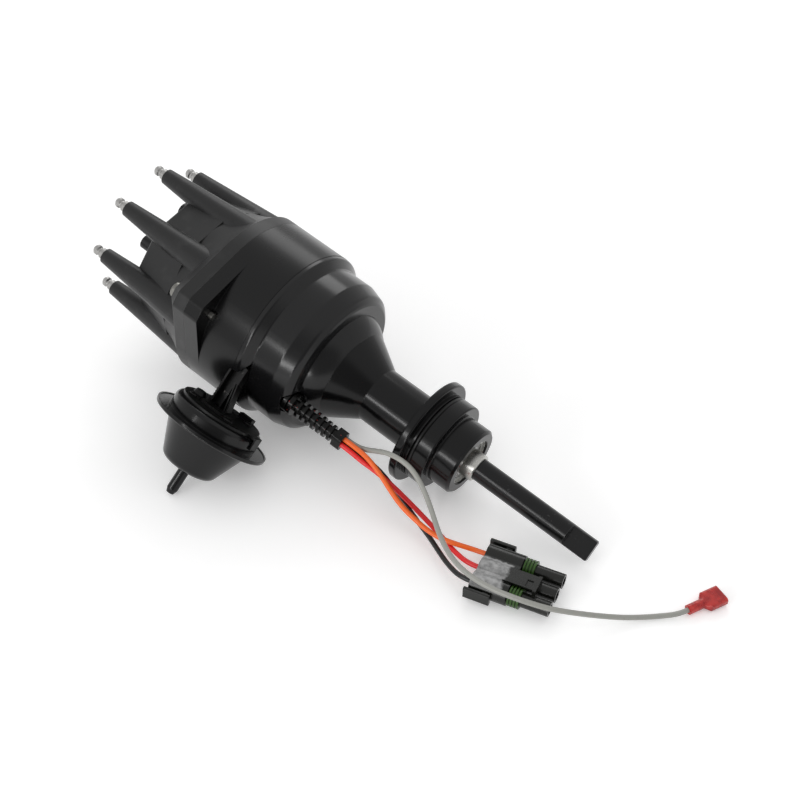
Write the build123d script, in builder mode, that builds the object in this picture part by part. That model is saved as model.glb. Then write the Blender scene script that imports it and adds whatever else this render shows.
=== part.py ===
from build123d import *
from math import asin, atan2, cos, hypot, pi, radians, sin, tan
import os

os.makedirs("parts", exist_ok=True)

# Ignition distributor for a V8 engine, lying on its side on a table.
# Lengths are in millimetres. The origin is on the shaft's axis, in the seating face of the
# hold-down flange. Stations run along that axis: positive towards the drive tang, negative
# towards the cap. Around the axis, an angle starts at the flank direction and turns towards
# the canister direction.

# ---- driving dimensions: lower housing ----
flange_radius = 31.0
flange_thickness = 4.6
flange_edge = 1.0
pilot_radius = 25.7
pilot_length = 13.4
pilot_edge = 0.8
snout_radius = 20.0
snout_length = 14.2
snout_edge = 1.4
neck_radius = 16.2
neck_length = 33.0
cone_length = 18.3
cone_radius = 27.3
spigot_radius = 15.0
spigot_length = 7.0
oring_section = 2.6
groove_width = 2.8
groove_start = 2.2
bore_clearance = 1.2

# ---- driving dimensions: bowl and ring ----
bowl_radius = 51.0
bowl_length = 43.7
bowl_wall = 4.5
shoulder_round = 2.0
shoulder_start = 1.9073
shoulder_foot_round = 1.5
bulge_radius = 46.5
bulge_wall = 4.3
bulge_flat = 15.0
bulge_edge_round = 2.5
bulge_cone_length = 8.4
bulge_cone_radius = 43.9
bulge_end_round = 3.0
step_start = 33.1
step_edge_radius = 41.0
step_radius = 33.8
step_round = 0.6
floor_thickness = 8.0
ring_length = 33.7
ring_radius = 51.2
lug_angle = 12.5
lug_spread = 39.75
lug_reach = 63.0
lug_depth = 9.7
lug_round = 4.0

# ---- driving dimensions: cap ----
cap_height = 53.3
cap_wall = 3.4
tower_circle = 40.2
tower_count = 8
tower_height = 21.6
tower_end_radius = 4.65
tower_taper = 4.2
flat_apothem = 36.5
flat_taper = 13.4
band_height = 7.8
lug_cap_height = 13.3
terminal_radius = 3.175
terminal_stand = 8.4
post_circle = 21.5
post_radius = 4.3
post_height = 12.4
cap_register = 2.0
register_clearance = 0.2

# ---- driving dimensions: shaft and bearings ----
shaft_radius = 6.35
shaft_end = 107.4
shaft_top = -123.0
tang_length = 15.2
tang_thickness = 4.8
bearing_radius = 14.2875
bearing_width = 7.94
bearing_race = 2.6
clip_thickness = 1.1
collar_radius = 8.0
collar_length = 7.9
bushing_wall = 3.15
running_fit = 0.05

# ---- driving dimensions: vacuum canister ----
canister_station = -93.0
canister_offset = 38.0
canister_rim_level = 63.3
canister_rim_radius = 33.9
canister_rim_thickness = 2.4
cover_radius = 26.5
cover_height = 8.6
cup_top_radius = 25.4
cup_end_radius = 15.2
cup_depth = 25.4
sheet_wall = 1.0
nipple_radius = 3.2
nipple_bore = 1.6
nipple_root_radius = 2.7
nipple_length = 16.9
arm_station = -97.2
arm_width = 9.6
arm_thickness = 6.0
arm_wall = 1.2

# ---- clearances ----
gap = 0.3

# ---- places that follow from the sizes ----
neck_end = -flange_thickness - neck_length
bowl_end = neck_end - cone_length
bowl_rim = bowl_end - bowl_length
cap_seat = bowl_rim - ring_length
cap_top = cap_seat - cap_height
tower_end = cap_top - tower_height
snout_end = pilot_length + snout_length

# The table touches the bowl's shoulder and the flange's front edge, so the axis leans.
shoulder_station = bowl_rim + shoulder_start
shoulder_centre = bowl_radius - shoulder_round
edge_centre = flange_radius - flange_edge
contact_run = -flange_edge - shoulder_station
contact_rise = shoulder_centre - edge_centre
lean = atan2(contact_rise, contact_run)
lean = lean + asin((shoulder_round - flange_edge) / hypot(contact_rise, contact_run))
table_drop = -flange_edge * sin(lean) + edge_centre * cos(lean) + flange_edge

# The tip of the canister's nipple is the third point that touches the table.
nipple_tip = canister_rim_level + cup_depth + nipple_length
roll = radians(45)
for step in range(12):
    tip_edge = nipple_radius * hypot(sin(lean), cos(lean) * cos(roll))
    tip_drop = (table_drop - canister_station * sin(lean) - tip_edge) / cos(lean)
    roll = asin(tip_drop / hypot(nipple_tip, canister_offset)) + atan2(canister_offset, nipple_tip)

axis_dir = Vector(cos(lean), 0, -sin(lean))
upright = Vector(sin(lean), 0, cos(lean))
flank_dir = Vector(0, -1, 0) * sin(roll) + upright * cos(roll)
canister_dir = Vector(0, -1, 0) * cos(roll) - upright * sin(roll)
shaft_axis = Axis((0, 0, 0), tuple(axis_dir))


def place(station_at, flank=0.0, canister=0.0):
    """The point at a station, with its two offsets across the axis."""
    return axis_dir * station_at + flank_dir * flank + canister_dir * canister


def around(angle):
    """The direction across the axis at an angle in degrees."""
    return flank_dir * cos(radians(angle)) + canister_dir * sin(radians(angle))


def station(at, angle=0.0):
    """A plane across the axis, its normal towards the drive tang."""
    return Plane(origin=place(at), x_dir=around(angle), z_dir=axis_dir)


def lengthwise(angle=0.0):
    """A plane through the axis: x is the station and y the distance from the axis."""
    return Plane(origin=(0, 0, 0), x_dir=axis_dir, z_dir=around(angle + 90))


def canister_level(level, offset=0.0):
    """A plane across the canister's axis, its normal away from the housing."""
    centre = place(canister_station + offset, canister_offset, level)
    return Plane(origin=centre, x_dir=axis_dir, z_dir=canister_dir)


canister_middle = place(canister_station, canister_offset, 0)
canister_axis = Axis(tuple(canister_middle), tuple(canister_dir))
canister_side = Plane(origin=canister_middle, x_dir=canister_dir, z_dir=axis_dir)


def corner(run, rise):
    """The vertex of the sketch under way that lies at a given place on its plane."""
    return vertices().sort_by_distance((run, rise, 0))[0]


# ==== lower housing: neck, flange, pilot and snout in one casting ====
bore_radius = shaft_radius + bore_clearance
bearing_seat = snout_end - 2 * clip_thickness - bearing_width
groove_floor = pilot_radius - oring_section
clip_start = bearing_seat + bearing_width
inner_race = shaft_radius + bearing_race
race_relief_radius = inner_race + 2 * gap
race_relief_depth = 0.8

with BuildPart() as neck_housing:
    with BuildSketch(lengthwise()):
        with BuildLine():
            Polyline(
                (bowl_end - spigot_length, bore_radius),
                (bowl_end - spigot_length, spigot_radius),
                (bowl_end, spigot_radius),
                (bowl_end, cone_radius),
                (neck_end, neck_radius),
                (-flange_thickness, neck_radius),
                (-flange_thickness, flange_radius),
                (0, flange_radius),
                (0, pilot_radius),
                (groove_start, pilot_radius),
                (groove_start, groove_floor),
                (groove_start + groove_width, groove_floor),
                (groove_start + groove_width, pilot_radius),
                (pilot_length, pilot_radius),
                (pilot_length, snout_radius),
                (snout_end, snout_radius),
                (snout_end, bearing_radius),
                (clip_start + clip_thickness, bearing_radius),
                (clip_start + clip_thickness, bearing_radius + clip_thickness),
                (clip_start, bearing_radius + clip_thickness),
                (clip_start, bearing_radius),
                (bearing_seat, bearing_radius),
                (bearing_seat, race_relief_radius),
                (bearing_seat - race_relief_depth, race_relief_radius),
                (bearing_seat - race_relief_depth, bore_radius),
                close=True,
            )
        make_face()
        fillet(corner(0, flange_radius), flange_edge)
        fillet(corner(-flange_thickness, flange_radius), flange_edge)
        fillet(corner(-flange_thickness, neck_radius), 2 * flange_edge)
        fillet(corner(pilot_length, pilot_radius), pilot_edge)
        fillet(corner(pilot_length, snout_radius), pilot_edge)
        chamfer(corner(snout_end, snout_radius), snout_edge)
    revolve(axis=shaft_axis)
neck_housing.part.label = "neck_housing"
export_step(neck_housing.part, "parts/neck_housing.step")

with BuildPart() as pilot_o_ring:
    with BuildSketch(lengthwise()):
        with Locations((groove_start + groove_width / 2, groove_floor + oring_section / 2)):
            Circle(oring_section / 2)
    revolve(axis=shaft_axis)
pilot_o_ring.part.label = "pilot_o_ring"
export_step(pilot_o_ring.part, "parts/pilot_o_ring.step")

# ==== bowl: shoulder, bulge, step and the hub that carries the upper bushing ====
shoulder_end = shoulder_station + shoulder_round * tan(radians(22.5))
bulge_first = shoulder_end + bowl_radius - bulge_radius
bulge_last = bulge_first + bulge_flat
bulge_cone_end = bulge_last + bulge_cone_length
step_station = bowl_rim + step_start
step_face = step_station + step_round
inner_floor = step_face - floor_thickness
bowl_bore = bowl_radius - bowl_wall
bulge_bore = bulge_radius - bulge_wall
ledge_station = bowl_rim + 2.1
bushing_radius = shaft_radius + running_fit + bushing_wall
hub_radius = bushing_radius + 3.5
hub_foot_radius = hub_radius + 4.0
plate_seat = bowl_rim + 9.3
hub_top = bowl_rim + 3.6
plate_thickness = 1.8
plate_low = plate_seat - gap
plate_top = plate_low - plate_thickness
clip_low = plate_top - gap
retaining_clip_depth = 0.8
relief_flank = 28.0
relief_side = 27.2
relief_hole = 5.2
pocket_radius = 7.2
pocket_depth = 4.5
pocket_length = 14.6
slot_gap = 0.4

with BuildPart() as bowl_housing:
    with BuildSketch(lengthwise()):
        with BuildLine():
            Polyline(
                (bowl_end, cone_radius),
                (bowl_end, spigot_radius),
                (bowl_end - spigot_length, spigot_radius),
                (bowl_end - spigot_length, bushing_radius),
                (hub_top, bushing_radius),
                (hub_top, hub_radius),
                (plate_seat, hub_radius),
                (plate_seat, hub_foot_radius),
                (inner_floor, hub_foot_radius),
                (inner_floor, bulge_bore),
                (ledge_station, bulge_bore),
                (ledge_station, bowl_bore),
                (bowl_rim, bowl_bore),
                (bowl_rim, bowl_radius),
                (shoulder_end, bowl_radius),
                (bulge_first, bulge_radius),
                (bulge_last, bulge_radius),
                (bulge_cone_end, bulge_cone_radius),
                (step_station, step_edge_radius),
                (step_face, step_edge_radius - 2 * step_round),
                (step_face, step_radius),
            )
            RadiusArc((step_face, step_radius), (bowl_end, cone_radius), 30)
        make_face()
        fillet(corner(inner_floor, bulge_bore), 3)
        fillet(corner(shoulder_end, bowl_radius), shoulder_round)
        fillet(corner(bulge_first, bulge_radius), shoulder_foot_round)
        fillet(corner(bulge_last, bulge_radius), bulge_edge_round)
        fillet(corner(bulge_cone_end, bulge_cone_radius), bulge_end_round)
    revolve(axis=shaft_axis)
    # groove for the clip that keeps the pickup plate on the hub
    with BuildSketch(station(clip_low)):
        Circle(hub_radius)
        Circle(hub_radius - retaining_clip_depth, mode=Mode.SUBTRACT)
    extrude(amount=-clip_thickness, mode=Mode.SUBTRACT)
    # pocket and hole for the wires' strain relief
    with BuildSketch(station(step_face - pocket_depth)):
        with Locations((relief_flank, relief_side)):
            Circle(pocket_radius)
    extrude(amount=pocket_length, mode=Mode.SUBTRACT)
    with BuildSketch(station(inner_floor)):
        with Locations((relief_flank, relief_side)):
            Circle(relief_hole)
    extrude(amount=floor_thickness, mode=Mode.SUBTRACT)
    # slot for the canister's arm, open at the rim
    with BuildSketch(station(bowl_rim)):
        with Locations((canister_offset, bowl_radius / 2)):
            Rectangle(arm_thickness + 2 * slot_gap, bowl_radius)
    extrude(amount=arm_station + arm_width / 2 + slot_gap - bowl_rim, mode=Mode.SUBTRACT)
bowl_housing.part.label = "bowl_housing"
export_step(bowl_housing.part, "parts/bowl_housing.step")

# ==== ring between the bowl and the cap, with two corner lugs ====
lug_root = (ring_radius * cos(radians(lug_spread)), ring_radius * sin(radians(lug_spread)))
lug_tip_half = lug_root[1] - (lug_reach - lug_root[0]) / tan(radians(lug_spread))
lug_screw_circle = ring_radius + 1.8
lug_screw_radius = 2.0
screw_stand = 2.6
lug_outline = [
    (0, 0),
    (lug_root[0], lug_root[1]),
    (lug_reach, lug_tip_half),
    (lug_reach, -lug_tip_half),
    (lug_root[0], -lug_root[1]),
]

with BuildPart() as upper_housing:
    with BuildSketch(station(cap_seat)):
        Circle(ring_radius)
    extrude(amount=ring_length)
    for turn in (0, 180):
        with BuildSketch(station(cap_seat, lug_angle + turn)) as lug:
            Polygon(*lug_outline, align=None)
            fillet(lug.vertices().group_by(Axis.X)[-1], lug_round)
        extrude(amount=lug_depth)
    with BuildSketch(station(cap_seat)):
        Circle(bowl_bore)
    extrude(amount=ring_length, mode=Mode.SUBTRACT)
    with BuildSketch(station(cap_seat, lug_angle)):
        with PolarLocations(lug_screw_circle, 2):
            Circle(lug_screw_radius + running_fit)
    extrude(amount=lug_depth + screw_stand + 0.4, mode=Mode.SUBTRACT)
    with BuildSketch(station(bowl_rim)):
        with Locations((canister_offset, bowl_radius / 2)):
            Rectangle(arm_thickness + 2 * slot_gap, bowl_radius)
    slot_rise = bowl_rim - (arm_station - arm_width / 2 - slot_gap)
    extrude(amount=-slot_rise, mode=Mode.SUBTRACT)
upper_housing.part.label = "upper_housing"
export_step(upper_housing.part, "parts/upper_housing.step")

# ==== cap: tapered octagon, eight blended towers, the coil tower and four posts ====
tower_angle = -10.0
flare_height = 17.0
flat_edge = 2.0
band_top = cap_seat - band_height
flare_top = band_top - flare_height
flare_radius = flat_apothem + (flare_top - cap_top) * tan(radians(flat_taper))
lug_top = cap_seat - lug_cap_height
lug_slope = 40.0
cavity_mouth = 43.0
cavity_taper = 10.8
cavity_top = cap_top + cap_wall
electrode_radius = 3.5
electrode_top = cap_seat - 24.7
electrode_length = 8.0
insert_radius = 2.0
brush_radius = 2.5
brush_tip = cap_seat - 24.0
boss_radius = 7.0
boss_end = cap_seat - 32.0
brush_pocket = cap_seat - 40.0
tower_places = [tower_angle + turn * 360 / tower_count for turn in range(tower_count)]

with BuildPart() as distributor_cap:
    with BuildSketch(station(cap_top, tower_angle)):
        RegularPolygon(flat_apothem, tower_count, major_radius=False)
    extrude(amount=flare_top - cap_top, taper=-flat_taper)
    fillet(distributor_cap.faces().sort_by(shaft_axis)[0].edges(), flat_edge)
    with BuildSketch(lengthwise()):
        with BuildLine():
            Polyline((flare_top, flare_radius), (flare_top, 0), (cap_seat, 0), (cap_seat, ring_radius))
            Line((cap_seat, ring_radius), (band_top, ring_radius))
            TangentArc(
                (flare_top, flare_radius),
                (band_top, ring_radius),
                tangent=(cos(radians(flat_taper)), sin(radians(flat_taper))),
            )
        make_face()
    revolve(axis=shaft_axis)
    with BuildSketch(station(tower_end, tower_angle)):
        with PolarLocations(tower_circle, tower_count):
            Circle(tower_end_radius)
    extrude(amount=band_top - tower_end, taper=-tower_taper)
    with BuildSketch(station(tower_end)):
        Circle(tower_end_radius)
    extrude(amount=cap_top - tower_end, taper=-tower_taper)
    with BuildSketch(station(cap_top - post_height, lug_angle)):
        with PolarLocations(post_circle, 4):
            Circle(post_radius)
    extrude(amount=post_height)
    for turn in (0, 180):
        with BuildSketch(station(cap_seat, lug_angle + turn)) as lug:
            Polygon(*lug_outline, align=None)
            fillet(lug.vertices().group_by(Axis.X)[-1], lug_round)
        extrude(amount=-band_height)
        with BuildSketch(station(band_top, lug_angle + turn)) as lug:
            Polygon(*lug_outline, align=None)
            fillet(lug.vertices().group_by(Axis.X)[-1], lug_round)
        extrude(amount=lug_top - band_top, taper=lug_slope)
    # the hollow inside, with the lip that registers in the ring
    with BuildSketch(lengthwise()):
        with BuildLine():
            cavity_end = cavity_mouth - (cap_seat - cavity_top) * tan(radians(cavity_taper))
            Polyline(
                (cap_seat, 0),
                (cap_seat, cavity_mouth),
                (cavity_top, cavity_end),
                (cavity_top, boss_radius),
                (boss_end, boss_radius),
                (boss_end, 0),
                close=True,
            )
        make_face()
    revolve(axis=shaft_axis, mode=Mode.SUBTRACT)
    with BuildSketch(station(cap_seat)):
        Circle(bowl_bore - register_clearance)
        Circle(cavity_mouth, mode=Mode.SUBTRACT)
    extrude(amount=cap_register)
    # seats of the moulded-in terminals, the brush and the screws
    with BuildSketch(station(electrode_top, tower_angle)):
        with PolarLocations(tower_circle, tower_count):
            Circle(electrode_radius)
    extrude(amount=electrode_length, mode=Mode.SUBTRACT)
    with BuildSketch(station(tower_end, tower_angle)):
        with PolarLocations(tower_circle, tower_count):
            Circle(insert_radius)
    extrude(amount=electrode_top - tower_end, mode=Mode.SUBTRACT)
    with BuildSketch(station(tower_end)):
        Circle(insert_radius)
    extrude(amount=brush_pocket - tower_end, mode=Mode.SUBTRACT)
    with BuildSketch(station(brush_pocket)):
        Circle(brush_radius + running_fit)
    extrude(amount=boss_end - brush_pocket, mode=Mode.SUBTRACT)
    with BuildSketch(station(lug_top, lug_angle)):
        with PolarLocations(lug_screw_circle, 2):
            Circle(lug_screw_radius + running_fit)
    extrude(amount=lug_cap_height, mode=Mode.SUBTRACT)
distributor_cap.part.label = "distributor_cap"
export_step(distributor_cap.part, "parts/distributor_cap.step")

terminal_neck = 2.3
terminal_collar = 3.0
terminal_end = tower_end - terminal_stand
terminal_profile = [
    (tower_end, 0),
    (tower_end, terminal_radius),
    (tower_end - terminal_collar, terminal_radius),
    (tower_end - terminal_collar - 0.8, terminal_neck),
    (tower_end - terminal_collar - 1.8, terminal_neck),
    (tower_end - terminal_collar - 2.6, terminal_radius - 0.2),
    (terminal_end + 1.2, terminal_radius - 0.2),
    (terminal_end, terminal_neck - 0.4),
    (terminal_end, 0),
]

with BuildPart() as plug_terminals:
    for angle in tower_places:
        with BuildSketch(lengthwise(angle)):
            with Locations((0, tower_circle)):
                Polygon(*terminal_profile, align=None)
        tower_middle = place(0) + around(angle) * tower_circle
        revolve(axis=Axis(tuple(tower_middle), tuple(axis_dir)))
    with BuildSketch(station(tower_end, tower_angle)):
        with PolarLocations(tower_circle, tower_count):
            Circle(insert_radius)
    extrude(amount=electrode_top - tower_end)
    with BuildSketch(station(electrode_top, tower_angle)):
        with PolarLocations(tower_circle, tower_count):
            Circle(electrode_radius)
    extrude(amount=electrode_length)
plug_terminals.part.label = "plug_terminals"
export_step(plug_terminals.part, "parts/plug_terminals.step")

brush_length = 9.0
with BuildPart() as coil_terminal:
    with BuildSketch(lengthwise()):
        Polygon(*terminal_profile, align=None)
    revolve(axis=shaft_axis)
    with BuildSketch(station(tower_end)):
        Circle(insert_radius)
    extrude(amount=brush_pocket - tower_end)
coil_terminal.part.label = "coil_terminal"
export_step(coil_terminal.part, "parts/coil_terminal.step")

brush_end = brush_tip - brush_length
with BuildPart() as carbon_brush:
    with BuildSketch(station(brush_end)):
        Circle(brush_radius)
    extrude(amount=brush_length)
    fillet(carbon_brush.faces().sort_by(shaft_axis)[-1].edges(), 0.8)
carbon_brush.part.label = "carbon_brush"
export_step(carbon_brush.part, "parts/carbon_brush.step")

spring_wire = 0.6
with BuildPart() as brush_spring:
    with BuildSketch(station(brush_pocket)):
        Circle(brush_radius - 2 * running_fit)
        Circle(brush_radius - spring_wire, mode=Mode.SUBTRACT)
    extrude(amount=brush_end - brush_pocket)
brush_spring.part.label = "brush_spring"
export_step(brush_spring.part, "parts/brush_spring.step")

screw_head_radius = 4.6
screw_head_height = 3.2
with BuildPart() as cap_screws:
    with BuildSketch(station(lug_top, lug_angle)):
        with PolarLocations(lug_screw_circle, 2):
            Circle(screw_head_radius)
    extrude(amount=-screw_head_height)
    fillet(cap_screws.faces().sort_by(shaft_axis)[:2].edges(), 1.2)
    with BuildSketch(station(lug_top - screw_head_height, lug_angle)):
        with PolarLocations(lug_screw_circle, 2):
            SlotOverall(2 * screw_head_radius - 2, 1.2)
    extrude(amount=1.4, mode=Mode.SUBTRACT)
    with BuildSketch(station(lug_top, lug_angle)):
        with PolarLocations(lug_screw_circle, 2):
            Circle(lug_screw_radius)
    extrude(amount=cap_seat + lug_depth + screw_stand - lug_top)
cap_screws.part.label = "cap_screws"
export_step(cap_screws.part, "parts/cap_screws.step")

# ==== shaft, its bearings and the collar ====
collar_pin_radius = 1.6
collar_pin_station = clip_start + collar_length / 2 + 0.6
pin_plane = Plane(origin=place(collar_pin_station), x_dir=axis_dir, z_dir=canister_dir)
with BuildPart() as shaft:
    with BuildSketch(station(shaft_top)):
        Circle(shaft_radius)
    extrude(amount=shaft_end - shaft_top)
    chamfer(shaft.faces().sort_by(shaft_axis)[-1].edges(), 0.6)
    with BuildSketch(station(shaft_end - tang_length)):
        for side in (-1, 1):
            with Locations((side * (tang_thickness / 2 + shaft_radius), 0)):
                Rectangle(2 * shaft_radius, 3 * shaft_radius)
    extrude(amount=tang_length, mode=Mode.SUBTRACT)
    with BuildSketch(pin_plane):
        Circle(collar_pin_radius)
    extrude(amount=collar_radius, both=True, mode=Mode.SUBTRACT)
shaft.part.label = "shaft"
export_step(shaft.part, "parts/shaft.step")

ball_radius = 2.38
ball_count = 9
race_middle = (shaft_radius + bearing_radius) / 2
bearing_centre = bearing_seat + bearing_width / 2
outer_race = bearing_radius - bearing_race
race_edge = 0.5

with BuildPart() as lower_bearing_outer:
    with BuildSketch(lengthwise()) as race:
        with Locations((bearing_centre, (outer_race + bearing_radius) / 2)):
            Rectangle(bearing_width, bearing_race)
        fillet(race.vertices().group_by(Axis.Y)[-1], race_edge)
        with Locations((bearing_centre, race_middle)):
            Circle(ball_radius + running_fit, mode=Mode.SUBTRACT)
    revolve(axis=shaft_axis)
lower_bearing_outer.part.label = "lower_bearing_outer"
export_step(lower_bearing_outer.part, "parts/lower_bearing_outer.step")

with BuildPart() as lower_bearing_inner:
    with BuildSketch(lengthwise()) as race:
        with Locations((bearing_centre, (inner_race + shaft_radius) / 2)):
            Rectangle(bearing_width, bearing_race)
        fillet(race.vertices().group_by(Axis.Y)[0], race_edge)
        with Locations((bearing_centre, race_middle)):
            Circle(ball_radius + running_fit, mode=Mode.SUBTRACT)
    revolve(axis=shaft_axis)
lower_bearing_inner.part.label = "lower_bearing_inner"
export_step(lower_bearing_inner.part, "parts/lower_bearing_inner.step")

with BuildPart() as lower_bearing_balls:
    for number in range(ball_count):
        with BuildSketch(lengthwise(number * 360 / ball_count)):
            with BuildLine():
                upper_half = CenterArc((bearing_centre, race_middle), ball_radius, 0, 180)
                Line(upper_half @ 1, upper_half @ 0)
            make_face()
        ball_middle = place(0) + around(number * 360 / ball_count) * race_middle
        revolve(axis=Axis(tuple(ball_middle), tuple(axis_dir)))
lower_bearing_balls.part.label = "lower_bearing_balls"
export_step(lower_bearing_balls.part, "parts/lower_bearing_balls.step")

shield_thickness = 0.6
with BuildPart() as lower_bearing_shield:
    with BuildSketch(station(clip_start - 2 * shield_thickness)):
        Circle(outer_race)
        Circle(inner_race + 2 * running_fit, mode=Mode.SUBTRACT)
    extrude(amount=shield_thickness)
lower_bearing_shield.part.label = "lower_bearing_shield"
export_step(lower_bearing_shield.part, "parts/lower_bearing_shield.step")

clip_bore = bearing_radius - 1.0
clip_opening = 26.0
clip_angle = -70.0
with BuildPart() as bearing_clip:
    with BuildSketch(station(clip_start, clip_angle)):
        Circle(bearing_radius + clip_thickness)
        Circle(clip_bore, mode=Mode.SUBTRACT)
        with Locations((bearing_radius, 0)):
            Rectangle(2 * clip_thickness + 4, 5, mode=Mode.SUBTRACT)
        for side in (-1, 1):
            with PolarLocations(clip_bore, 1, start_angle=side * clip_opening / 2):
                Circle(1.5)
            with PolarLocations(clip_bore, 1, start_angle=side * clip_opening / 2):
                Circle(0.6, mode=Mode.SUBTRACT)
    extrude(amount=clip_thickness)
bearing_clip.part.label = "bearing_clip"
export_step(bearing_clip.part, "parts/bearing_clip.step")

collar_edge = 0.6
collar_pin_depth = 0.3
with BuildPart() as collar:
    with BuildSketch(station(bearing_seat + bearing_width)):
        Circle(collar_radius)
    extrude(amount=collar_length)
    chamfer(collar.faces().sort_by(shaft_axis)[-1].edges(), collar_edge)
    with BuildSketch(station(bearing_seat + bearing_width)):
        Circle(shaft_radius)
    extrude(amount=collar_length, mode=Mode.SUBTRACT)
    with BuildSketch(pin_plane):
        Circle(collar_pin_radius)
    extrude(amount=collar_radius, both=True, mode=Mode.SUBTRACT)
collar.part.label = "collar"
export_step(collar.part, "parts/collar.step")

with BuildPart() as collar_pin:
    with BuildSketch(pin_plane):
        Circle(collar_pin_radius)
    extrude(amount=collar_radius - collar_pin_depth, both=True)
collar_pin.part.label = "collar_pin"
export_step(collar_pin.part, "parts/collar_pin.step")

with BuildPart() as upper_bushing:
    with BuildSketch(station(hub_top)):
        Circle(bushing_radius)
        Circle(shaft_radius + running_fit, mode=Mode.SUBTRACT)
    extrude(amount=bowl_end - spigot_length - hub_top)
upper_bushing.part.label = "upper_bushing"
export_step(upper_bushing.part, "parts/upper_bushing.step")

# ==== mechanical advance: sleeve with reluctor and base plate, two weights, springs ====
sleeve_bore = shaft_radius + 0.07
sleeve_radius = 9.0
sleeve_start = hub_top - gap
base_plate_seat = cap_seat + 21.3
base_plate_radius = 35.0
base_plate_thickness = 2.5
weight_thickness = 5.0
weight_pivot = 24.0
weight_pin_radius = 2.5
weight_inner = 15.0
weight_outer = 33.0
weight_first = 62.0
weight_last = 150.0
weight_top = base_plate_seat - gap - weight_thickness
paddle_radius = 17.0
paddle_first = hub_top - 7.0
paddle_length = 6.0
post_angle = 205.0
spring_circle = 27.0
leg_radius = 3.6
leg_circle = 30.0
rotor_disc_radius = 34.0
rotor_disc_thickness = 4.0
rotor_disc_top = shaft_top - 5.0
spring_station = weight_top - 2.6

with BuildPart() as advance_plate:
    with BuildSketch(station(base_plate_seat)):
        Circle(base_plate_radius)
    extrude(amount=base_plate_thickness)
    with BuildSketch(station(base_plate_seat)):
        Circle(sleeve_radius)
    extrude(amount=sleeve_start - base_plate_seat)
    with BuildSketch(station(base_plate_seat)):
        Circle(sleeve_bore)
    extrude(amount=sleeve_start - base_plate_seat, mode=Mode.SUBTRACT)
    with BuildSketch(station(base_plate_seat, 90)):
        with PolarLocations(weight_pivot, 2):
            Circle(weight_pin_radius)
    extrude(amount=weight_top - 1.4 - base_plate_seat)
    with BuildSketch(station(base_plate_seat, post_angle)):
        with PolarLocations(spring_circle, 2):
            Circle(1.3)
    extrude(amount=spring_station - 2.4 - base_plate_seat)
advance_plate.part.label = "advance_plate"
export_step(advance_plate.part, "parts/advance_plate.step")

with BuildPart() as reluctor:
    with BuildSketch(station(paddle_first)):
        Circle(sleeve_radius + 2.5)
        with PolarLocations(paddle_radius - 3, tower_count):
            Rectangle(6, 2.4)
        Circle(sleeve_radius, mode=Mode.SUBTRACT)
    extrude(amount=paddle_length)
reluctor.part.label = "reluctor"
export_step(reluctor.part, "parts/reluctor.step")

for label, turn in (("weight_a", 0), ("weight_b", 180)):
    with BuildPart() as weight:
        with BuildSketch(station(weight_top, turn)) as outline:
            with BuildLine():
                outside = CenterArc((0, 0), weight_outer, weight_first, weight_last - weight_first)
                inside = CenterArc((0, 0), weight_inner, weight_first, weight_last - weight_first)
                Line(outside @ 0, inside @ 0)
                Line(outside @ 1, inside @ 1)
            make_face()
            fillet(outline.vertices(), 2.5)
            with Locations((0, weight_pivot)):
                Circle(weight_pin_radius + running_fit, mode=Mode.SUBTRACT)
        extrude(amount=weight_thickness)
        with BuildSketch(station(weight_top, turn)):
            with PolarLocations(spring_circle, 1, start_angle=weight_last - 10):
                Circle(1.3)
        extrude(amount=spring_station - 2.4 - weight_top)
    weight.part.label = label
    export_step(weight.part, f"parts/{label}.step")

spring_radius = 1.7
spring_ring = 0.5
spring_pitch = 1.2
with BuildPart() as advance_springs:
    for turn in (0, 180):
        hook = place(spring_station) + around(post_angle + turn) * spring_circle
        far = place(spring_station) + around(weight_last - 10 + turn) * spring_circle
        along = (far - hook).normalized()
        run = (far - hook).length - 2 * (1.3 + gap)
        base = hook + along * (1.3 + gap)
        coils = int(run / spring_pitch)
        with BuildSketch(Plane(origin=base, x_dir=axis_dir, z_dir=along)):
            Circle(spring_radius - spring_ring)
        extrude(amount=run)
        for number in range(coils):
            start = base + along * (number * spring_pitch + spring_pitch / 4)
            with BuildSketch(Plane(origin=start, x_dir=axis_dir, z_dir=along)):
                Circle(spring_radius)
            extrude(amount=spring_pitch / 2)
advance_springs.part.label = "advance_springs"
export_step(advance_springs.part, "parts/advance_springs.step")

cam_long = 9.5
cam_short = 7.8
with BuildPart() as shaft_cam:
    with BuildSketch(station(weight_top, 105)):
        Ellipse(cam_long, cam_short)
        Circle(shaft_radius, mode=Mode.SUBTRACT)
    extrude(amount=weight_thickness)
shaft_cam.part.label = "shaft_cam"
export_step(shaft_cam.part, "parts/shaft_cam.step")

# ==== rotor ====
rotor_hub_radius = 9.0
strip_thickness = 1.0
arm_top = brush_tip + strip_thickness + gap
arm_half_width = 6.0
tip_clearance = 0.5
rotor_reach = tower_circle - electrode_radius - tip_clearance

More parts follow.
